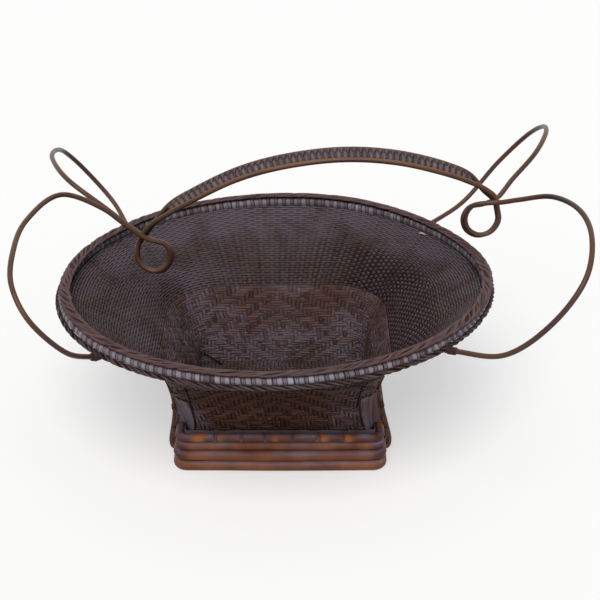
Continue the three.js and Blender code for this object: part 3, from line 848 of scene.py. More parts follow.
class BASKET_OT_flare(BasketOperator, bpy.types.Operator):
    """Weaves the upper flare from fine weavers over fanned stakes"""

    bl_idname = "basket.flare"
    bl_label = "Fine flare"

    def execute(self, context):
        scene = context.scene
        bowl = Bowl(scene)
        weave = scene.basket_weave
        rng = self.rng(context, 3)
        rows = weave.fine_rows
        around = 4 * weave.stakes
        low = bowl.bowl.twill_share
        mid = -bowl.bowl.wall / 2

        def shadow(part):
            """The dark line where the wall goes in under the rim."""
            return smooth((part - 0.972) / 0.012)

        stakes = Strands(around, rows + 2, 4).close_ends()
        part = low + (1 - low) * stakes.along
        half, corner, _ = bowl.edge(part, 0)
        aside = 0.5 * stakes.across / around
        stake_sway = 0.0004
        sway = stake_sway * drift(stakes.along * 0.5, stakes.strand, rng, 3) / perimeter(half, corner)
        out = mid + STAKE_HALF * stakes.lift
        tone = rng.uniform(0.2, 1, around)[stakes.strand]
        places = bowl.wall(stakes.strand / around + aside + sway, part, out)
        edge = np.maximum(stakes.across, shadow(part))
        stakes.lay(places, run=0.1, tone=tone, patina=0.9, edge=edge)

        weavers = Strands(rows, 2 * around, 4)
        pitch = (1 - low) / rows
        wave = np.cos(math.pi * (weavers.along * around + weavers.strand))
        shared_jog = 0.0005
        own_jog = 0.00012
        jog = shared_jog * drift(weavers.along, 0 * weavers.strand, rng, 20)
        jog = jog + own_jog * drift(weavers.along, weavers.strand, rng, 14)
        jog = jog * smooth((weavers.strand + 0.5) / 3)
        middle = low + (weavers.strand + 0.5) * pitch + jog / bowl.length
        part = middle + WEAVER_GIRTH * pitch * weavers.across
        out = mid + weave.fine_wave * wave + WEAVER_HALF * weavers.lift
        # Tones differ by row, along each row, by crossing, by stake and round the bowl; they dip between
        # the stakes as painted shade where the weavers turn in.
        tone = np.clip(rng.normal(0.5, 0.2, rows)[weavers.strand], 0, 1)
        tone = tone + 0.2 * drift(weavers.along, weavers.strand, rng, 20)
        tone = tone + 0.06 * np.cos(math.pi * weavers.along * around)
        tone = tone + 0.30 * np.cos(TAU * weavers.along * around)
        tone = tone + rng.normal(0, 0.12, (rows, 2 * around + 1))[weavers.strand, weavers.step]
        stake = np.rint(weavers.along * around).astype(int) % around
        tone = tone + rng.normal(0, 0.16, around)[stake]
        tone = tone + 0.12 * drift(weavers.along, 0 * weavers.strand, rng, 50)
        places = bowl.wall(weavers.along, np.clip(part, 0, 1), out)
        # Painted shade darkens the right wall low down, and painted light makes the rear and the top
        # lighter. The rear, the top and the left low down are greyer: a dusty bloom and a painted sheen.
        shade = smooth(places[:, 0] / 0.06) * smooth((0.85 - part) / 0.2)
        rear = smooth(places[:, 1] / 0.12)
        tone = tone - 0.4 * shade + 0.15 * smooth((part - 0.75) / 0.2) + 0.2 * rear
        grey = 0.1 + 0.5 * rear - 0.35 * shade
        grey = grey + (1.0 + 2.1 * rear) * smooth((part - 0.68) / 0.3)
        grey = grey + 0.7 * smooth(-places[:, 0] / 0.05 - 1.2) * smooth((0.8 - part) / 0.2)
        # Dark edges: painted shade between the weavers, the painted shadow under the rim and the painted
        # shade of the right wall.
        edge = np.maximum(np.abs(weavers.across), np.maximum(shadow(part), 0.76 * shade))
        weavers.lay(places, run=0.9, tone=tone, patina=grey, edge=edge)

        chip = flat_strips(1, 10)
        turn = CHIP_TURN - CHIP_RUN * chip.along
        part = CHIP_PLACE + CHIP_RISE * chip.along + CHIP_GIRTH * chip.across * (1 - 0.7 * chip.along)
        stand = CHIP_STAND * np.sin(math.pi * chip.along)
        out = -bowl.bowl.wall - stand + CHIP_HALF * chip.lift
        chip.lay(bowl.wall(turn, part, out), run=0.01, tone=1.0, wear=1.6, patina=0.0, edge=0.0)

        finish = self.finish(
            context, "fine_weaver", "fine_deep fine_warm dust bare",
            rough=0.45, seam=0.7, shine=0.035)
        add_piece("flare_weavers", [stakes, weavers, chip], finish, ["flare_weave"])
        return {"FINISHED"}


# Each turn of the rim's winding is a broad strip with soft edges, and then two strings. The strip stops
# at an angle short of the flat cord, inwards and outwards of it.
BEAD_STEPS = 18
BEAD_SIDES = 18
STRIP_EDGE = 0.09
STRINGS = (0.74, 0.90)
STRING_HALF = 0.085
SHORT_INWARD = 0.4
SHORT_OUTWARD = 0.3


def at_rear(turn):
    """One at the rear of the rim, less to the sides, and nothing along its front."""
    return np.maximum(0, np.sin(TAU * turn)) ** 2


class BASKET_OT_rim_wrap(BasketOperator, bpy.types.Operator):
    """Winds a splint over the hoop, in turns that stand proud like beads"""

    bl_idname = "basket.rim_wrap"
    bl_label = "Wound rim"

    def execute(self, context):
        scene = context.scene
        bowl = Bowl(scene)
        rim = scene.basket_rim
        rng = self.rng(context, 4)
        wrap = Strands(1, rim.beads * BEAD_STEPS, BEAD_SIDES)
        around = (bowl.bowl.slope + math.pi + wrap.round) % TAU
        slip = 0.05 * drift(wrap.along, wrap.strand, rng, 60)
        phase = wrap.along * rim.beads + slip + 0.3 * (wrap.round / TAU - 0.5)
        part = phase % 1.0
        bead = np.floor(phase).astype(int) % rim.beads
        wide = rng.uniform(0.56, 0.64, rim.beads)[bead]
        pad = smooth(part / STRIP_EDGE) * smooth((wide - part) / STRIP_EDGE)
        free = np.where(around > rim.cord_angle, SHORT_INWARD, SHORT_OUTWARD)
        free = smooth((np.abs(around - rim.cord_angle) - free) / 0.16)
        pad = pad * free
        nearest = np.minimum(*(np.abs(part - string) for string in STRINGS))
        string = 0.8 * smooth(1.15 - nearest / STRING_HALF)
        size = rng.normal(0, 0.00012, rim.beads)[bead]
        bare = 1 - np.maximum(pad, string)
        radius = rim.wrap_radius - rim.groove * (1.5 - 0.5 * free) * bare + size * pad
        radius = radius + rim.rear_swell * at_rear(wrap.along)
        places = bowl.round_rim(wrap.along, radius * np.cos(around), radius * np.sin(around))
        inside = smooth((around - 3.2) / 0.2) * smooth((5.0 - around) / 0.5)
        bright = np.clip(rng.normal(0.8, 0.22, rim.beads), 0.2, 1.2)[bead]
        # Painted shade: the grooves between the turns and the bare hoop beside the flat cord take the
        # deep colour and a dark edge.
        tone = bright * (pad + string)
        # The worn colour on the turns is wear and a painted sheen.
        wear = bright * (0.8 * pad + 0.8 * string) * (1 - 0.2 * inside)
        edge = bare * (1 - 0.4 * free)
        wrap.lay(places, TAU * rim.radius, tone, wear, patina=0.1 + 0.6 * pad, edge=edge)
        finish = self.finish(
            context, "rim_splint", "bead_deep bead_warm dust bead_worn", rough=0.4, seam=1.0)
        add_piece("rim_winding", [wrap], finish, ["rim_core", "rim_wrap"])
        return {"FINISHED"}


TWIST_STEPS = 14
ROPE_SHARE = 0.87  # of the rope's radius, for the circle that holds its plies
# A cord: its piece and node, whether it is a flat plait, turns and hand of its twist, number of plies,
# and outwards and up, middle of its plies and of its heart, swing of the plies, half sizes of a ply
# and of the heart. Last comes its tone.
Lay = collections.namedtuple(
    "Lay", "name node flat twists hand plies middle heart swing ply core tone")


class BASKET_OT_rim_cords(BasketOperator, bpy.types.Operator):
    """Lays a flat plaited cord along the rim's top and a rope along its lower edge"""

    bl_idname = "basket.rim_cords"
    bl_label = "Rim cords"

    def execute(self, context):
        scene = context.scene
        bowl = Bowl(scene)
        rim = scene.basket_rim
        finish = self.finish(
            context, "rim_cord", "cord_deep cord_warm dust dust", rough=0.45, seam=0.85)
        seat = rim.wrap_radius + rim.clearance
        plait_up = rim.plait_swing + rim.plait_ply
        plait = (-rim.plait_inward, seat + plait_up)
        rope = ROPE_SHARE * rim.rope_radius
        aim = np.array([math.cos(rim.rope_angle), math.sin(rim.rope_angle)])
        kinds = (
            Lay(name="rim_cord", node="rim_top_cord", flat=True, twists=rim.cord_twists, hand=1, plies=8,
                middle=plait, heart=plait,
                swing=(rim.plait_half - rim.plait_side, rim.plait_swing),
                ply=(rim.plait_side, rim.plait_ply),
                core=(0.8 * rim.plait_half, 0.7 * rim.plait_ply), tone=0.55),
            Lay(name="rim_rope", node="rim_outer_rope", flat=False, twists=rim.rope_twists, hand=-1,
                plies=3, middle=(seat + rope) * aim, heart=(seat + 0.45 * rope) * aim,
                swing=(0.5 * rope, 0.5 * rope), ply=(0.5 * rope, 0.5 * rope),
                core=(0.62 * rope, 0.62 * rope), tone=0.05),
        )
        for kind in kinds:
            rng = self.rng(context, 5 + kind.twists)
            strands = Strands(kind.plies + 1, kind.twists * TWIST_STEPS, 8)
            core = strands.strand == kind.plies
            slip = 0.07 * drift(strands.along, strands.strand, rng, 40)
            swing = kind.hand * TAU * (kind.twists * strands.along + strands.strand / kind.plies + slip)
            slack = 1 + 0.06 * drift(strands.along, strands.strand, rng, 30)
            slack = np.where(core, 0, slack)
            out = np.where(core, kind.heart[0], kind.middle[0]) + kind.swing[0] * slack * np.cos(swing)
            up = np.where(core, kind.heart[1], kind.middle[1]) + kind.swing[1] * slack * np.sin(swing)
            out = out + np.where(core, kind.core[0], kind.ply[0]) * strands.across
            up = up + np.where(core, kind.core[1], kind.ply[1]) * strands.lift
            tone = kind.tone + 0.4 * drift(strands.along, strands.strand, rng, 60)
            # Painted shade: each ply darkens towards its edges in the plait, and where it turns in under
            # its neighbours in the rope; the heart is dark all over.
            if kind.flat:
                out = out + rim.plait_aside * np.cos(TAU * strands.along)
                up = up + rim.plait_rise * at_rear(strands.along)
                buried_shade = 0.9 * np.abs(strands.across)
            else:
                buried_shade = np.clip(1.5 * (1 - np.cos(strands.round - swing)), 0, 1)
            places = bowl.round_rim(strands.along, out, up)
            buried_shade = np.where(core, 1, buried_shade)
            strands.lay(places, TAU * rim.radius, tone, wear=0.1, patina=0.5, edge=buried_shade)
            add_piece(kind.name, [strands], finish, [kind.node])
        return {"FINISHED"}


BAND_GRID = (240, 12)  # steps along the band, and sides
RAGGED = 0.0005  # how far the band's upper edge rises and falls


class BASKET_OT_foot_band(BasketOperator, bpy.types.Operator):
    """Makes the flat band between the neck and the rails"""

    bl_idname = "basket.foot_band"
    bl_label = "Foot band"

    def execute(self, context):
        scene = context.scene
        bowl = Bowl(scene)
        foot = scene.basket_foot
        rng = self.rng(context, 6)
        band = Strands(1, *BAND_GRID)
        inside = bowl.bowl.neck_half + bowl.rim.clearance
        out = foot.band / 2 * (1 + np.sign(band.across) * np.abs(band.across) ** 0.4)
        tall = bowl.foot_top - foot.band_lift
        up = tall / 2 * np.sign(band.lift) * np.abs(band.lift) ** 0.35
        up = up + RAGGED * drift(band.along, band.strand, rng, 50) * (band.lift > 0.5)
        x, y = plan(band.along % 1.0, inside + out, foot.band_corner + out)
        places = on_foot(x, y, foot.band_lift + tall / 2 + up)
        front = smooth((-y - 0.06) / 0.02)
        tone = 0.4 + 0.35 * drift(band.along, band.strand, rng, 70)
        band.lay(places, run=0.63, tone=tone, wear=0.4 * front, patina=0.2 + 0.9 * front)
        finish = self.finish(context, "foot_band", "bead_deep bead_warm dust dust", rough=0.6)
        add_piece("foot_band_strip", [band], finish, ["foot_band"])
        return {"FINISHED"}


RAIL_GRID = (280, 14)  # steps along a rail, and sides
RAIL_BOWS = (0.0022, 0.0014, 0.0007, 0.0002)  # how far each rail bows out along a side
RAIL_WAVE = 0.0002  # how far a rail rises and falls


class BASKET_OT_foot_rails(BasketOperator, bpy.types.Operator):
    """Bends four cane rails round the foot"""

    bl_idname = "basket.foot_rails"
    bl_label = "Foot rails"

    def execute(self, context):
        scene = context.scene
        bowl = Bowl(scene)
        foot = scene.basket_foot
        gap = bowl.rim.clearance
        finish = self.finish(
            context, "foot_rail", "rail_deep rail_warm rail_dust rail_worn",
            rough=0.4, grain=200.0, shine=0.08)
        levels = (
            (foot.lower_rail, foot.lower_rail / 2),
            (foot.lower_rail, foot.lower_rail * 1.5 + gap),
            (foot.upper_rail, bowl.lower_top + gap + foot.upper_rail / 2),
            (foot.upper_rail, bowl.top_rail),
        )
        for i, (diameter, level) in enumerate(levels):
            rng = self.rng(context, 20 + i)
            rail = Strands(1, *RAIL_GRID)
            radius = diameter / 2 * (1 + 0.03 * drift(rail.along, rail.strand, rng, 9))
            side = np.abs((rail.along * 4 + 0.5) % 1.0 - 0.5) * 2
            corner = smooth((side - 0.86) / 0.08)
            out = diameter / 2 + radius * rail.across + RAIL_BOWS[i] * (1 - smooth(side))
            up = level + radius * rail.lift + RAIL_WAVE * drift(rail.along, rail.strand, rng, 7)
            x, y = plan(rail.along % 1.0, bowl.rail_seat + out, bowl.rail_corner + out)
            places = on_foot(x, y, np.maximum(up, 0))
            # Painted light: each rail is lighter along its top and darker below.
            tone = 0.40 + 0.26 * drift(rail.along, rail.strand, rng, 40) + 0.25 * rail.lift
            patch = 0.5 + 0.5 * smooth(0.5 + 0.6 * drift(rail.along, rail.strand, rng, 26))
            # Grey-violet along each rail's top: a dusty bloom and a painted sheen.
            dust = 0.1 + 1.9 * smooth(rail.lift * 2.2 - 0.6) * patch
            spot = 0.5 + 0.5 * drift(rail.along, rail.strand, rng, 30)
            wear = 0.2 + 0.2 * smooth(spot * 1.6 - 0.5)
            if level == bowl.top_rail:
                # The front of the top rail is rubbed between its lashings.
                way = rail.along * 4 % 1.0 * 2 * bowl.rail_seat
                span = np.abs((way / foot.lash_pitch) % 1.0 - 0.5)
                front = smooth((-y - 0.055) / 0.02)
                wear = front * smooth(1.6 - 5 * span) * smooth(spot * 2 - 0.3)
                dust = dust * (1 - 0.8 * wear)
            # Painted shade: the upper three rails darken, and lose their rubbed colour, round the
            # corners.
            if i > 0:
                tone = tone - 0.6 * corner
                wear = wear * (1 - corner)
            rail.lay(places, run=0.7, tone=tone, wear=wear, patina=dust)
            add_piece(f"rail_{i + 1}", [rail], finish, [f"foot_rail_{i + 1}"])
        return {"FINISHED"}


# A lashing is a pair of splints over the top rail: their thickness and half width, the gaps under them
# and between their middles, and in degrees where they start below the rail's outside and how far they go.
LASH_THICK = 0.0007
LASH_HALF = 0.0008
LASH_SEAT = 0.0002
LASH_APART = 0.0022
LASH_START = -75
LASH_SWEEP = 235


class BASKET_OT_foot_lashings(BasketOperator, bpy.types.Operator):
    """Ties the top rail to the band with pairs of splints"""

    bl_idname = "basket.foot_lashings"
    bl_label = "Foot lashings"

    def execute(self, context):
        scene = context.scene
        bowl = Bowl(scene)
        foot = scene.basket_foot
        rng = self.rng(context, 7)
        number = 4 * foot.lashes
        strips = Strands(2 * number, 16, 4).close_ends()
        lash = strips.strand // 2
        second = strips.strand % 2
        spread = rng.uniform(-0.003, 0.003, number)[lash]
        shift = rng.normal(0, 0.0008, number)[lash]
        middle = (lash % foot.lashes - (foot.lashes - 1) / 2) * foot.lash_pitch + shift
        swing = np.radians(LASH_START + LASH_SWEEP * strips.along)
        far = foot.upper_rail / 2 + LASH_SEAT + LASH_THICK / 2 * (1 + strips.lift)
        out = bowl.rail_seat + foot.upper_rail / 2 + far * np.cos(swing)
        up = bowl.top_rail + far * np.sin(swing)
        aside = middle + (second - 0.5) * (LASH_APART + 2 * spread * (strips.along - 0.5))
        aside = aside + LASH_HALF * strips.across
        quarter = (lash // foot.lashes) * math.pi / 2
        x = out * np.cos(quarter) - aside * np.sin(quarter)
        y = out * np.sin(quarter) + aside * np.cos(quarter)
        tone = rng.uniform(0.2, 0.9, 2 * number)[strips.strand]
        strips.lay(on_foot(x, y, up), run=0.02, tone=tone, wear=0.2)
        finish = self.finish(context, "lashing", "cord_deep cord_warm dust dust", rough=0.5)
        sides = ("right", "rear", "left", "front")
        nodes = [f"foot_lash_{side}_{i + 1}" for side in sides for i in range(foot.lashes)]
        add_piece("foot_lashings", [strips], finish, nodes)
        return {"FINISHED"}


# The corners, by the signs of their X and Y.
CORNERS = {"front_left": (-1, -1), "front_right": (1, -1), "rear_left": (-1, 1), "rear_right": (1, 1)}
STAY_POINTS = 41
STAY_LENGTH = 0.055  # about, of the part between the rails and the flare
STAY_STRIP = (0.0013, 0.0007)  # width and thickness of the strip that binds a stay
STAY_BEYOND = ((0.33, 0.0008), (0.38, 0.0))  # where a stay's thin end runs on, and its distance out
# Flat splints at each corner of the neck, and last a thin dark strip beside them, a painted shadow in the
# gap there. In turns, their place from the middle of the side, how far their tops fan out and their half
# width. Then their run up the wall.
CORNER_SPLINTS = (
    (0.1012, 0.0, 0.0064, 0.22),
    (0.1140, 0.0025, 0.0064, 0.225),
    (0.1245, 0.0065, 0.0062, 0.235),
    (0.1305, 0.0145, 0.0010, 0.355),
)
SPLINT_FOOT = 0.085  # where they start on the wall
SPLINT_STAND = 0.0118  # how far the first one's lower corner stands off
# A short cane beside each stay, from the foot's middle, and its radius.
SHORT_CANE = ((0.0922, 0.0655, 0.0185), (0.0919, 0.0655, 0.028), (0.0885, 0.0650, 0.041))
SHORT_RADIUS = 0.0015
SHORT_POINTS = 21
# Threads from each stay to the corner: their number, radius, pitch and sway, and their start and run in
# turns and up the wall.
THREADS = 3
THREAD_RADIUS = 0.0005
THREAD_PITCH = 0.0017
THREAD_SWAY = 0.0008
THREAD_START = (0.103, 0.310)
THREAD_RUN = (0.037, 0.075)


def to_corner(corner, aside):
    """The turn on the left or right side, so far from its middle towards each numbered corner."""
    x_sign, y_sign = np.array(list(CORNERS.values()))[corner].T
    return np.where(x_sign < 0, 0.5, 0.0) + x_sign * y_sign * aside


def reach_aside(half, corner, aside):
    """Half width of a square with round corners, away from the middle of its side."""
    straight = half - corner
    return straight + math.sqrt(corner ** 2 - max(0, aside - straight) ** 2)


def stay_lines(scene, beyond=()):
    """The lines of the four stays, from beside the lower rails to under the flare and beyond."""
    bowl = Bowl(scene)
    foot = scene.basket_foot
    aside = foot.stay_aside
    gap = bowl.rim.clearance
    low = reach_aside(bowl.rail_seat + foot.lower_rail, bowl.rail_corner + foot.lower_rail, aside)
    low += gap + foot.stay_radius
    flat = foot.stay_radius * math.cos(math.pi / 6)  # the solid stay has six sides
    half, corner, height = bowl.edge(foot.stay_top, gap + flat)
    top = reach_aside(half, corner, aside)
    # Its lower end hooks in, and it lies against the rails and the wall.
    shape = (
        (low - foot.stay_radius, foot.stay_foot - 0.0004),
        (low - 0.2 * foot.stay_radius, foot.stay_foot + 0.0012),
        (low + 0.0004, (foot.stay_foot + bowl.lower_top) / 2),
        (low, bowl.lower_top),
        ((low + 3 * top) / 4, (2 * bowl.foot_top + height) / 3),
        (top, height),
    )
    for part, out in beyond:
        half, corner, height = bowl.edge(part, out)
        shape += ((reach_aside(half, corner, aside), height),)
    lines = []
    for x_sign, y_sign in CORNERS.values():
        points = np.array([(x_sign * r, y_sign * aside, z) for r, z in shape])
        lines.append(bent_line(bowl.lean(*points.T), STAY_POINTS)[0])
    return lines


class BASKET_OT_stays(BasketOperator, bpy.types.Operator):
    """Sets a cane stay at each corner of the foot, with splints, a short cane and threads beside it"""

    bl_idname = "basket.stays"
    bl_label = "Stays"

    def execute(self, context):
        scene = context.scene
        radius = scene.basket_foot.stay_radius

        def stay_radius(s):
            """Thicker at the foot, and thin towards the top."""
            return radius * (1 + 0.3 * smooth(1 - 3 * s)) * (1 - 0.6 * smooth(4 * s - 2.9))

        stays, places = rods(stay_lines(scene, STAY_BEYOND), 10, stay_radius)
        tone = 0.3 + 0.25 * drift(stays.along, stays.strand, self.rng(context, 8), 12)
        stays.lay(places, run=0.08, tone=tone, wear=0.2, patina=0.5, edge=0.0)

        bowl = Bowl(scene)
        kinds = len(CORNER_SPLINTS)
        number = kinds * len(CORNERS)
        splints = flat_strips(number, 24)
        kind = splints.strand % kinds
        place, fan, half, run = np.array(CORNER_SPLINTS)[kind].T
        turn = to_corner(splints.strand // kinds, place + fan * splints.along + half * splints.across)
        part = SPLINT_FOOT + run * splints.along
        off = SPLINT_STAND * (1 - splints.across) / 2 * (1 - splints.along)
        out = 0.0005 + 0.0004 * splints.lift + np.where(kind == 0, off, 0)
        dark = self.rng(context, 10).uniform(0.0, 0.35, number)[splints.strand]
        # Painted shadow: the first two splints darken at their lower ends, and the last strip is dark all
        # over.
        gap_shadow = np.where(kind < 2, smooth((0.2 - splints.along) / 0.05), kind == kinds - 1)
        splints.lay(bowl.wall(turn, part, out), run=0.05, tone=dark, patina=2.0, edge=gap_shadow)

        lines = []
        for x_sign, y_sign in CORNERS.values():
            points = on_foot(*(np.array(SHORT_CANE) * (x_sign, y_sign, 1)).T)
            lines.append(bent_line(points, SHORT_POINTS)[0])
        short, places = rods(lines, 8, lambda s: SHORT_RADIUS * (1 - 0.4 * s))
        short.lay(places, run=0.03, tone=0.25, wear=0.1, patina=0.8, edge=0.0)

        threads = Strands(THREADS * len(CORNERS), 16, 6).close_ends()
        turn = to_corner(threads.strand // THREADS, THREAD_START[0] + THREAD_RUN[0] * threads.along)
        rise = (threads.strand % THREADS - 1) * THREAD_PITCH
        rise = rise + THREAD_SWAY * np.sin(5 * threads.along + threads.strand)
        part = THREAD_START[1] + THREAD_RUN[1] * threads.along
        part = part + (rise + THREAD_RADIUS * threads.lift) / bowl.length
        out = 0.0006 + THREAD_RADIUS * threads.across + 0.0014 * smooth(1 - 3 * threads.along)
        threads.lay(bowl.wall(turn, part, out), run=0.03, tone=0.35, wear=0.1, patina=0.7, edge=0.0)

        finish = self.finish(
            context, "stay_cane", "rail_deep rail_warm dust rail_warm", rough=0.45, seam=0.95)
        nodes = [f"stay_{corner}" for corner in CORNERS]
        add_piece("stay_canes", [stays, splints, short, threads], finish, nodes)
        return {"FINISHED"}


class BASKET_OT_stay_ties(BasketOperator, bpy.types.Operator):
    """Winds a binding round each stay"""

    bl_idname = "basket.stay_ties"
    bl_label = "Stay bindings"

    def execute(self, context):
        scene = context.scene
        foot = scene.basket_foot
        lines = stay_lines(scene)
        reach = scene.basket_handle.tie_length / 2 / STAY_LENGTH
        starts = [foot.tie_place - reach] * len(lines)
        ends = [foot.tie_place + reach] * len(lines)
        ties, places = coils(lines, starts, ends, 4, foot.stay_radius, STAY_STRIP)
        ties.lay(places, run=0.06, tone=0.4, wear=0.15, patina=0.2)
        finish = self.finish(context, "stay_binding", "cord_deep cord_warm dust dust")
        nodes = [f"stay_tie_{corner}" for corner in CORNERS]
        add_piece("stay_bindings", [ties], finish, nodes)
        return {"FINISHED"}


def cane_points(scene, y_sign):
    """The route of one handle cane: rim, ear, loop, arch, loop, ear and rim."""
    bowl = Bowl(scene)
    rim = scene.basket_rim
    handle = scene.basket_handle
    gap = rim.clearance
    spread_near = handle.cane_radius + 3 * gap
    spread_far = spread_near + 3 * handle.cane_radius
    spread_grip = 2 * (handle.core_radius + gap) + gap + handle.cane_radius

    def place(x, spread, height, sag):
        """A point of the cane. Only the rear one sags."""
        low = sag if y_sign > 0 else 0.0
        return (x + FOOT_X, y_sign * spread, rim.height + height - low)

    def anchor(x_sign):
        """The cane's end, outside the rope."""
        rope = rim.wrap_radius + gap + rim.rope_radius
        reach = rim.radius + rope * math.cos(rim.rope_angle) + rim.rope_radius
        reach += handle.anchor_seat
        x = np.array(x_sign * reach * math.cos(handle.anchor_angle))
        y = np.array(y_sign * reach * math.sin(handle.anchor_angle))
        return tuple(bowl.lean(x, y, np.array(rim.height - handle.anchor_drop)))

    def loop(shape, from_spread, to_spread):
        """Points round a loop, which moves from one distance to another as it turns."""
        x, height, across, up, start, end = shape
        points = []
        for t in np.linspace(0, 1, LOOP_POINTS):
            turn = math.radians(start + (end - start) * t)
            spread = from_spread + (to_spread - from_spread) * t
            points.append(place(
                x + across * math.cos(turn), spread, height + up * math.sin(turn),
                handle.loop_sag * spread))
        return points

    return [
        anchor(1),
        *(place(*point) for point in RIGHT_EAR),
        *loop(RIGHT_LOOP, spread_far, spread_near),
        *(place(x, spread_near, height, sag) for x, height, sag in RIGHT_RUN),
        *(place(x, spread_grip * part, height, -handle.grip_rise * part) for x, height, part in ARCH),
        *(place(x, spread_near, height, sag) for x, height, sag in LEFT_RUN),
        *loop(LEFT_LOOP, spread_near, spread_far),
        *(place(*point) for point in reversed(LEFT_EAR)),
        anchor(-1),
    ]


CANE_POINTS = 499


class BASKET_OT_handle_canes(BasketOperator, bpy.types.Operator):
    """Bends the two canes of the handle"""

    bl_idname = "basket.handle_canes"
    bl_label = "Handle canes"

    def execute(self, context):
        scene = context.scene
        radius = scene.basket_handle.cane_radius
        finish = self.finish(
            context, "handle_cane", "cane_deep cane_warm dust cane_worn",
            rough=0.34, grain=180.0, coat=0.06, shine=0.15)
        for end, y_sign in (("front", -1), ("rear", 1)):
            rng = self.rng(context, 30 + y_sign)
            line, run = bent_line(cane_points(scene, y_sign), CANE_POINTS)
            cane, places = rods([line], 10, lambda s: radius * np.ones(len(s)))
            middle = line[np.clip(cane.step - 1, 0, len(line) - 1)]
            # Painted light: each cane is lighter along its top and darker below, and its worn colour
            # along the top, strongest on the front cane at the grip, is also a painted highlight.
            above = (places[:, 2] - middle[:, 2]) / radius
            tone = 0.28 + 0.2 * above + 0.25 * drift(cane.along, cane.strand, rng, 20)
            grip = smooth(3 - np.abs(cane.along - 0.5) * 18)
            wear = smooth(above * 2.4 - 1.3) * (0.25 + 0.55 * grip * (y_sign < 0))
            cane.lay(places, run, tone, wear, patina=0.15)
            add_piece(f"cane_{end}", [cane], finish, [f"handle_cane_{end}"])
        return {"FINISHED"}


GRIP_POINTS = 401
CORE_GRID = (122, 10)  # steps along a core, and sides
GRIP_DEPTH = 0.019  # over which the grip rises to the rear
WIND_STEPS = 28  # points in each figure of eight
WIND_LENGTH = 0.045  # of the strip in each, along its grain
WIND_THICK = 0.0006
WIND_SEAT = 0.0001


class BASKET_OT_grip(BasketOperator, bpy.types.Operator):
    """Winds a splint in figures of eight round the two cores of the grip"""

    bl_idname = "basket.grip"
    bl_label = "Wound grip"

    def execute(self, context):
        scene = context.scene
        rim = scene.basket_rim
        handle = scene.basket_handle
        rng = self.rng(context, 9)
        middle = [(x + FOOT_X, 0.0, rim.height + height) for x, height, _ in ARCH]
        line, run = bent_line(middle, GRIP_POINTS)
        gone = np.linspace(0, 1, GRIP_POINTS)
        marks = [x + FOOT_X for x, _, _ in ARCH][::-1]
        fanned = np.interp(line[:, 0], marks, [part for _, _, part in ARCH][::-1])
        above = np.cross([0.0, 1.0, 0.0], heading(line))
        above *= np.sign(above[:, 2:3])

        def core_radius(s):
            """Thinner towards the grip's ends."""
            from_end = np.minimum(s, 1 - s) / handle.core_taper
            part = handle.core_end + (1 - handle.core_end) * from_end
            return handle.core_radius * np.minimum(1, part)

        def at(s, values):
            """Places or directions at shares of the grip's length."""
            return np.stack([np.interp(s, gone, values[:, i]) for i in range(3)], axis=1)

        def raised(places):
            """The grip's rear edge stands higher than its front."""
            places[:, 2] += handle.grip_rise * (0.5 + places[:, 1] / GRIP_DEPTH)
            return places

        spread = handle.core_radius + rim.clearance
        cores = Strands(2, *CORE_GRID).close_ends()
        side = np.where(cores.strand == 0, -1.0, 1.0) * spread * np.interp(cores.along, gone, fanned)
        thick = 0.9 * core_radius(cores.along)
        places = at(cores.along, line) + at(cores.along, above) * (thick * cores.lift)[:, None]
        places[:, 1] += side + thick * cores.across
        cores.lay(raised(places), run, tone=0.1, patina=0.2)

        turns = int(run / handle.wind_pitch)
        strip = Strands(1, turns * WIND_STEPS + 2, 4).close_ends()
        way = strip.along * turns
        part = way % 1.0
        front = part < 0.5
        swing = TAU * 2 * np.where(front, part, part - 0.5)
        far = core_radius(strip.along) + WIND_SEAT + WIND_THICK / 2 * (1 + strip.lift)
        reach = spread * np.interp(strip.along, gone, fanned)
        aside = np.where(front, -reach + far * np.cos(swing), reach - far * np.cos(swing))
        up = -far * np.sin(swing)
        pinch = 0.5 - 0.5 * np.cos(swing)
        width = handle.wind_pitch * (0.30 + 0.60 * np.sqrt(pinch)) / run
        places = at(strip.along + width / 2 * strip.across, line)
        places += at(strip.along, above) * up[:, None]
        places[:, 1] += aside
        turn = np.floor(way).astype(int)
        grey = 0.3 + 0.7 * pinch
        tone = rng.normal(0.55, 0.2, turns + 1)[turn] * grey
        strip.lay(raised(places), turns * WIND_LENGTH, tone, wear=0.25 * pinch, patina=grey)
        finish = self.finish(
            context, "grip_winding", "grip_deep grip_warm dust dust", rough=0.42, coat=0.1)
        nodes = ["grip_core_front", "grip_core_rear"]
        add_piece("grip_winding", [cores, strip], finish, nodes)
        return {"FINISHED"}


TIE_POINTS = 1200  # along the whole cane
TIE_TUCK = 0.007  # how far a binding at the rim runs on under the rope
TIE_SWELL = 1.1  # its inside, by the cane's radius
TIE_STRIP = (0.0016, 0.0009)  # width and thickness of its strip


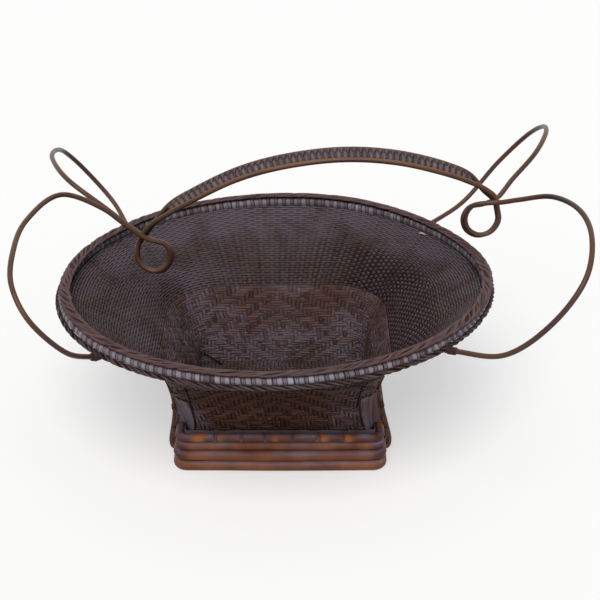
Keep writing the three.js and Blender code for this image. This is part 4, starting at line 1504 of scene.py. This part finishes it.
class BASKET_OT_rim_ties(BasketOperator, bpy.types.Operator):
    """Binds the ends of the canes to the rim"""

    bl_idname = "basket.rim_ties"
    bl_label = "Rim bindings"

    def execute(self, context):
        scene = context.scene
        handle = scene.basket_handle
        lines = []
        ends = []
        for x_sign, y_sign in CORNERS.values():
            line, run = bent_line(cane_points(scene, y_sign), TIE_POINTS)
            route = line if x_sign > 0 else line[::-1]
            inward = np.array([FOOT_X, 0, route[0][2]]) - route[0]
            start = route[0] + TIE_TUCK * inward / np.linalg.norm(inward)
            under = np.linspace(start, route[0], 7, endpoint=False)
            lines.append(np.concatenate([under, route]))
            ends.append((TIE_TUCK + handle.tie_length) / (run + TIE_TUCK))
        starts = [0.0] * len(lines)
        radius = TIE_SWELL * handle.cane_radius
        ties, places = coils(lines, starts, ends, 8, radius, TIE_STRIP)
        ties.lay(places, run=0.12, tone=0.1, patina=0.25)
        finish = self.finish(context, "rim_binding", "bead_deep cord_warm dust dust")
        nodes = [f"rim_tie_{corner}" for corner in CORNERS]
        add_piece("rim_bindings", [ties], finish, nodes)
        return {"FINISHED"}


def seen_rays(wire):
    """One for a ray from the camera, and for one that gloss or glass sends on."""
    kinds = ("Is Camera Ray", "Is Glossy Ray", "Is Transmission Ray")
    camera, gloss, glass = (wire.node("ShaderNodeLightPath", {}, {}, kind) for kind in kinds)
    return (camera + gloss + glass).within()


WHITE = (1, 1, 1, 1)
GROUND_HALF = 8  # half width of the ground
GROUND_DROP = 0.0002  # below the foot, so that the two don't share a plane


class BASKET_OT_stage(bpy.types.Operator):
    """Sets the ground, the light and the camera"""

    bl_idname = "basket.stage"
    bl_label = "Stage"

    def execute(self, context):
        scene = context.scene
        stage = scene.basket_stage
        colours = scene.basket_colours
        bm = bmesh.new()
        bmesh.ops.create_grid(bm, x_segments=8, y_segments=8, size=GROUND_HALF)
        mesh = bpy.data.meshes.new("ground")
        bm.to_mesh(mesh)
        bm.free()
        ground = bpy.data.objects.new("ground", mesh)
        ground.location.z = -GROUND_DROP
        scene.collection.objects.link(ground)
        paint = bpy.data.materials.new("pale_ground")
        paint.use_nodes = True
        tree = paint.node_tree
        wire = Wire(tree)
        surface = tree.nodes["Principled BSDF"]
        wire.fill(surface, {
            "Base Color": solid(colours.ground), "Roughness": 0.9, "Specular IOR Level": 0.1})
        lit = Wire(tree, surface.outputs[0])
        seen = seen_rays(wire)
        white = wire.node("ShaderNodeEmission", {}, {"Color": WHITE, "Strength": 1.0})
        mild = wire.node("ShaderNodeMixShader", {}, {0: 0.5 * seen, 1: lit, 2: white})
        wire.fill(tree.nodes["Material Output"], {"Surface": mild})
        mesh.materials.append(paint)

        world = bpy.data.worlds.new("studio")
        world.use_nodes = True
        scene.world = world
        tree = world.node_tree
        tree.nodes.clear()
        wire = Wire(tree)
        seen = seen_rays(wire)
        light = wire.node("ShaderNodeBackground", {}, {
            "Color": solid(colours.sky), "Strength": stage.sky})
        white = wire.node("ShaderNodeBackground", {}, {"Color": WHITE, "Strength": 1.0})
        both = wire.node("ShaderNodeMixShader", {}, {0: seen, 1: light, 2: white})
        wire.fill(tree.nodes.new("ShaderNodeOutputWorld"), {"Surface": both})

        sun = bpy.data.lights.new("soft_lamp", "SUN")
        sun.energy = stage.key
        sun.angle = stage.lamp_width
        sun.color = colours.lamp
        lamp = bpy.data.objects.new("soft_lamp", sun)
        lamp.rotation_euler = (stage.lamp_forward, stage.lamp_aside, 0)
        scene.collection.objects.link(lamp)

        camera = bpy.data.cameras.new("camera")
        camera.lens = stage.lens
        camera.sensor_width = 36
        camera.clip_start = 0.05
        viewer = bpy.data.objects.new("camera", camera)
        viewer.location = (
            0,
            -stage.distance * math.cos(stage.elevation),
            stage.aim_height + stage.distance * math.sin(stage.elevation),
        )
        viewer.rotation_euler = (math.pi / 2 - stage.elevation, 0, 0)
        scene.collection.objects.link(viewer)
        scene.camera = viewer
        scene.view_settings.view_transform = "Standard"
        return {"FINISHED"}


OPERATORS = (
    BASKET_OT_floor,
    BASKET_OT_neck,
    BASKET_OT_flare,
    BASKET_OT_rim_wrap,
    BASKET_OT_rim_cords,
    BASKET_OT_foot_band,
    BASKET_OT_foot_rails,
    BASKET_OT_foot_lashings,
    BASKET_OT_stays,
    BASKET_OT_stay_ties,
    BASKET_OT_handle_canes,
    BASKET_OT_grip,
    BASKET_OT_rim_ties,
    BASKET_OT_stage,
)


class BASKET_PT_pieces(bpy.types.Panel):
    """Lists the basket's pieces"""

    bl_idname = "BASKET_PT_pieces"
    bl_label = "Flower basket"
    bl_space_type = "VIEW_3D"
    bl_region_type = "UI"
    bl_category = "Basket"

    def draw(self, context):
        for operator in OPERATORS:
            self.layout.operator(operator.bl_idname)
        for name, group in GROUPS.items():
            box = self.layout.box()
            box.label(text=group.__doc__)
            for key in group.__annotations__:
                box.prop(getattr(context.scene, name), key)


CLASSES = (*GROUPS.values(), *OPERATORS, BASKET_PT_pieces)


def register():
    """Adds the classes, and the groups of sizes and colours to the scene."""
    for cls in CLASSES:
        bpy.utils.register_class(cls)
    for name, group in GROUPS.items():
        setattr(bpy.types.Scene, name, bpy.props.PointerProperty(type=group))


def unregister():
    """Takes away what register added."""
    for name in GROUPS:
        delattr(bpy.types.Scene, name)
    for cls in reversed(CLASSES):
        bpy.utils.unregister_class(cls)


def main():
    """Builds the scene."""
    register()
    bpy.ops.basket.stage()
    bpy.ops.basket.floor()
    bpy.ops.basket.neck()
    bpy.ops.basket.flare()
    bpy.ops.basket.rim_wrap()
    bpy.ops.basket.rim_cords()
    bpy.ops.basket.foot_band()
    bpy.ops.basket.foot_rails()
    bpy.ops.basket.foot_lashings()
    bpy.ops.basket.stays()
    bpy.ops.basket.stay_ties()
    bpy.ops.basket.handle_canes()
    bpy.ops.basket.grip()
    bpy.ops.basket.rim_ties()


if __name__ == "__main__":
    main()
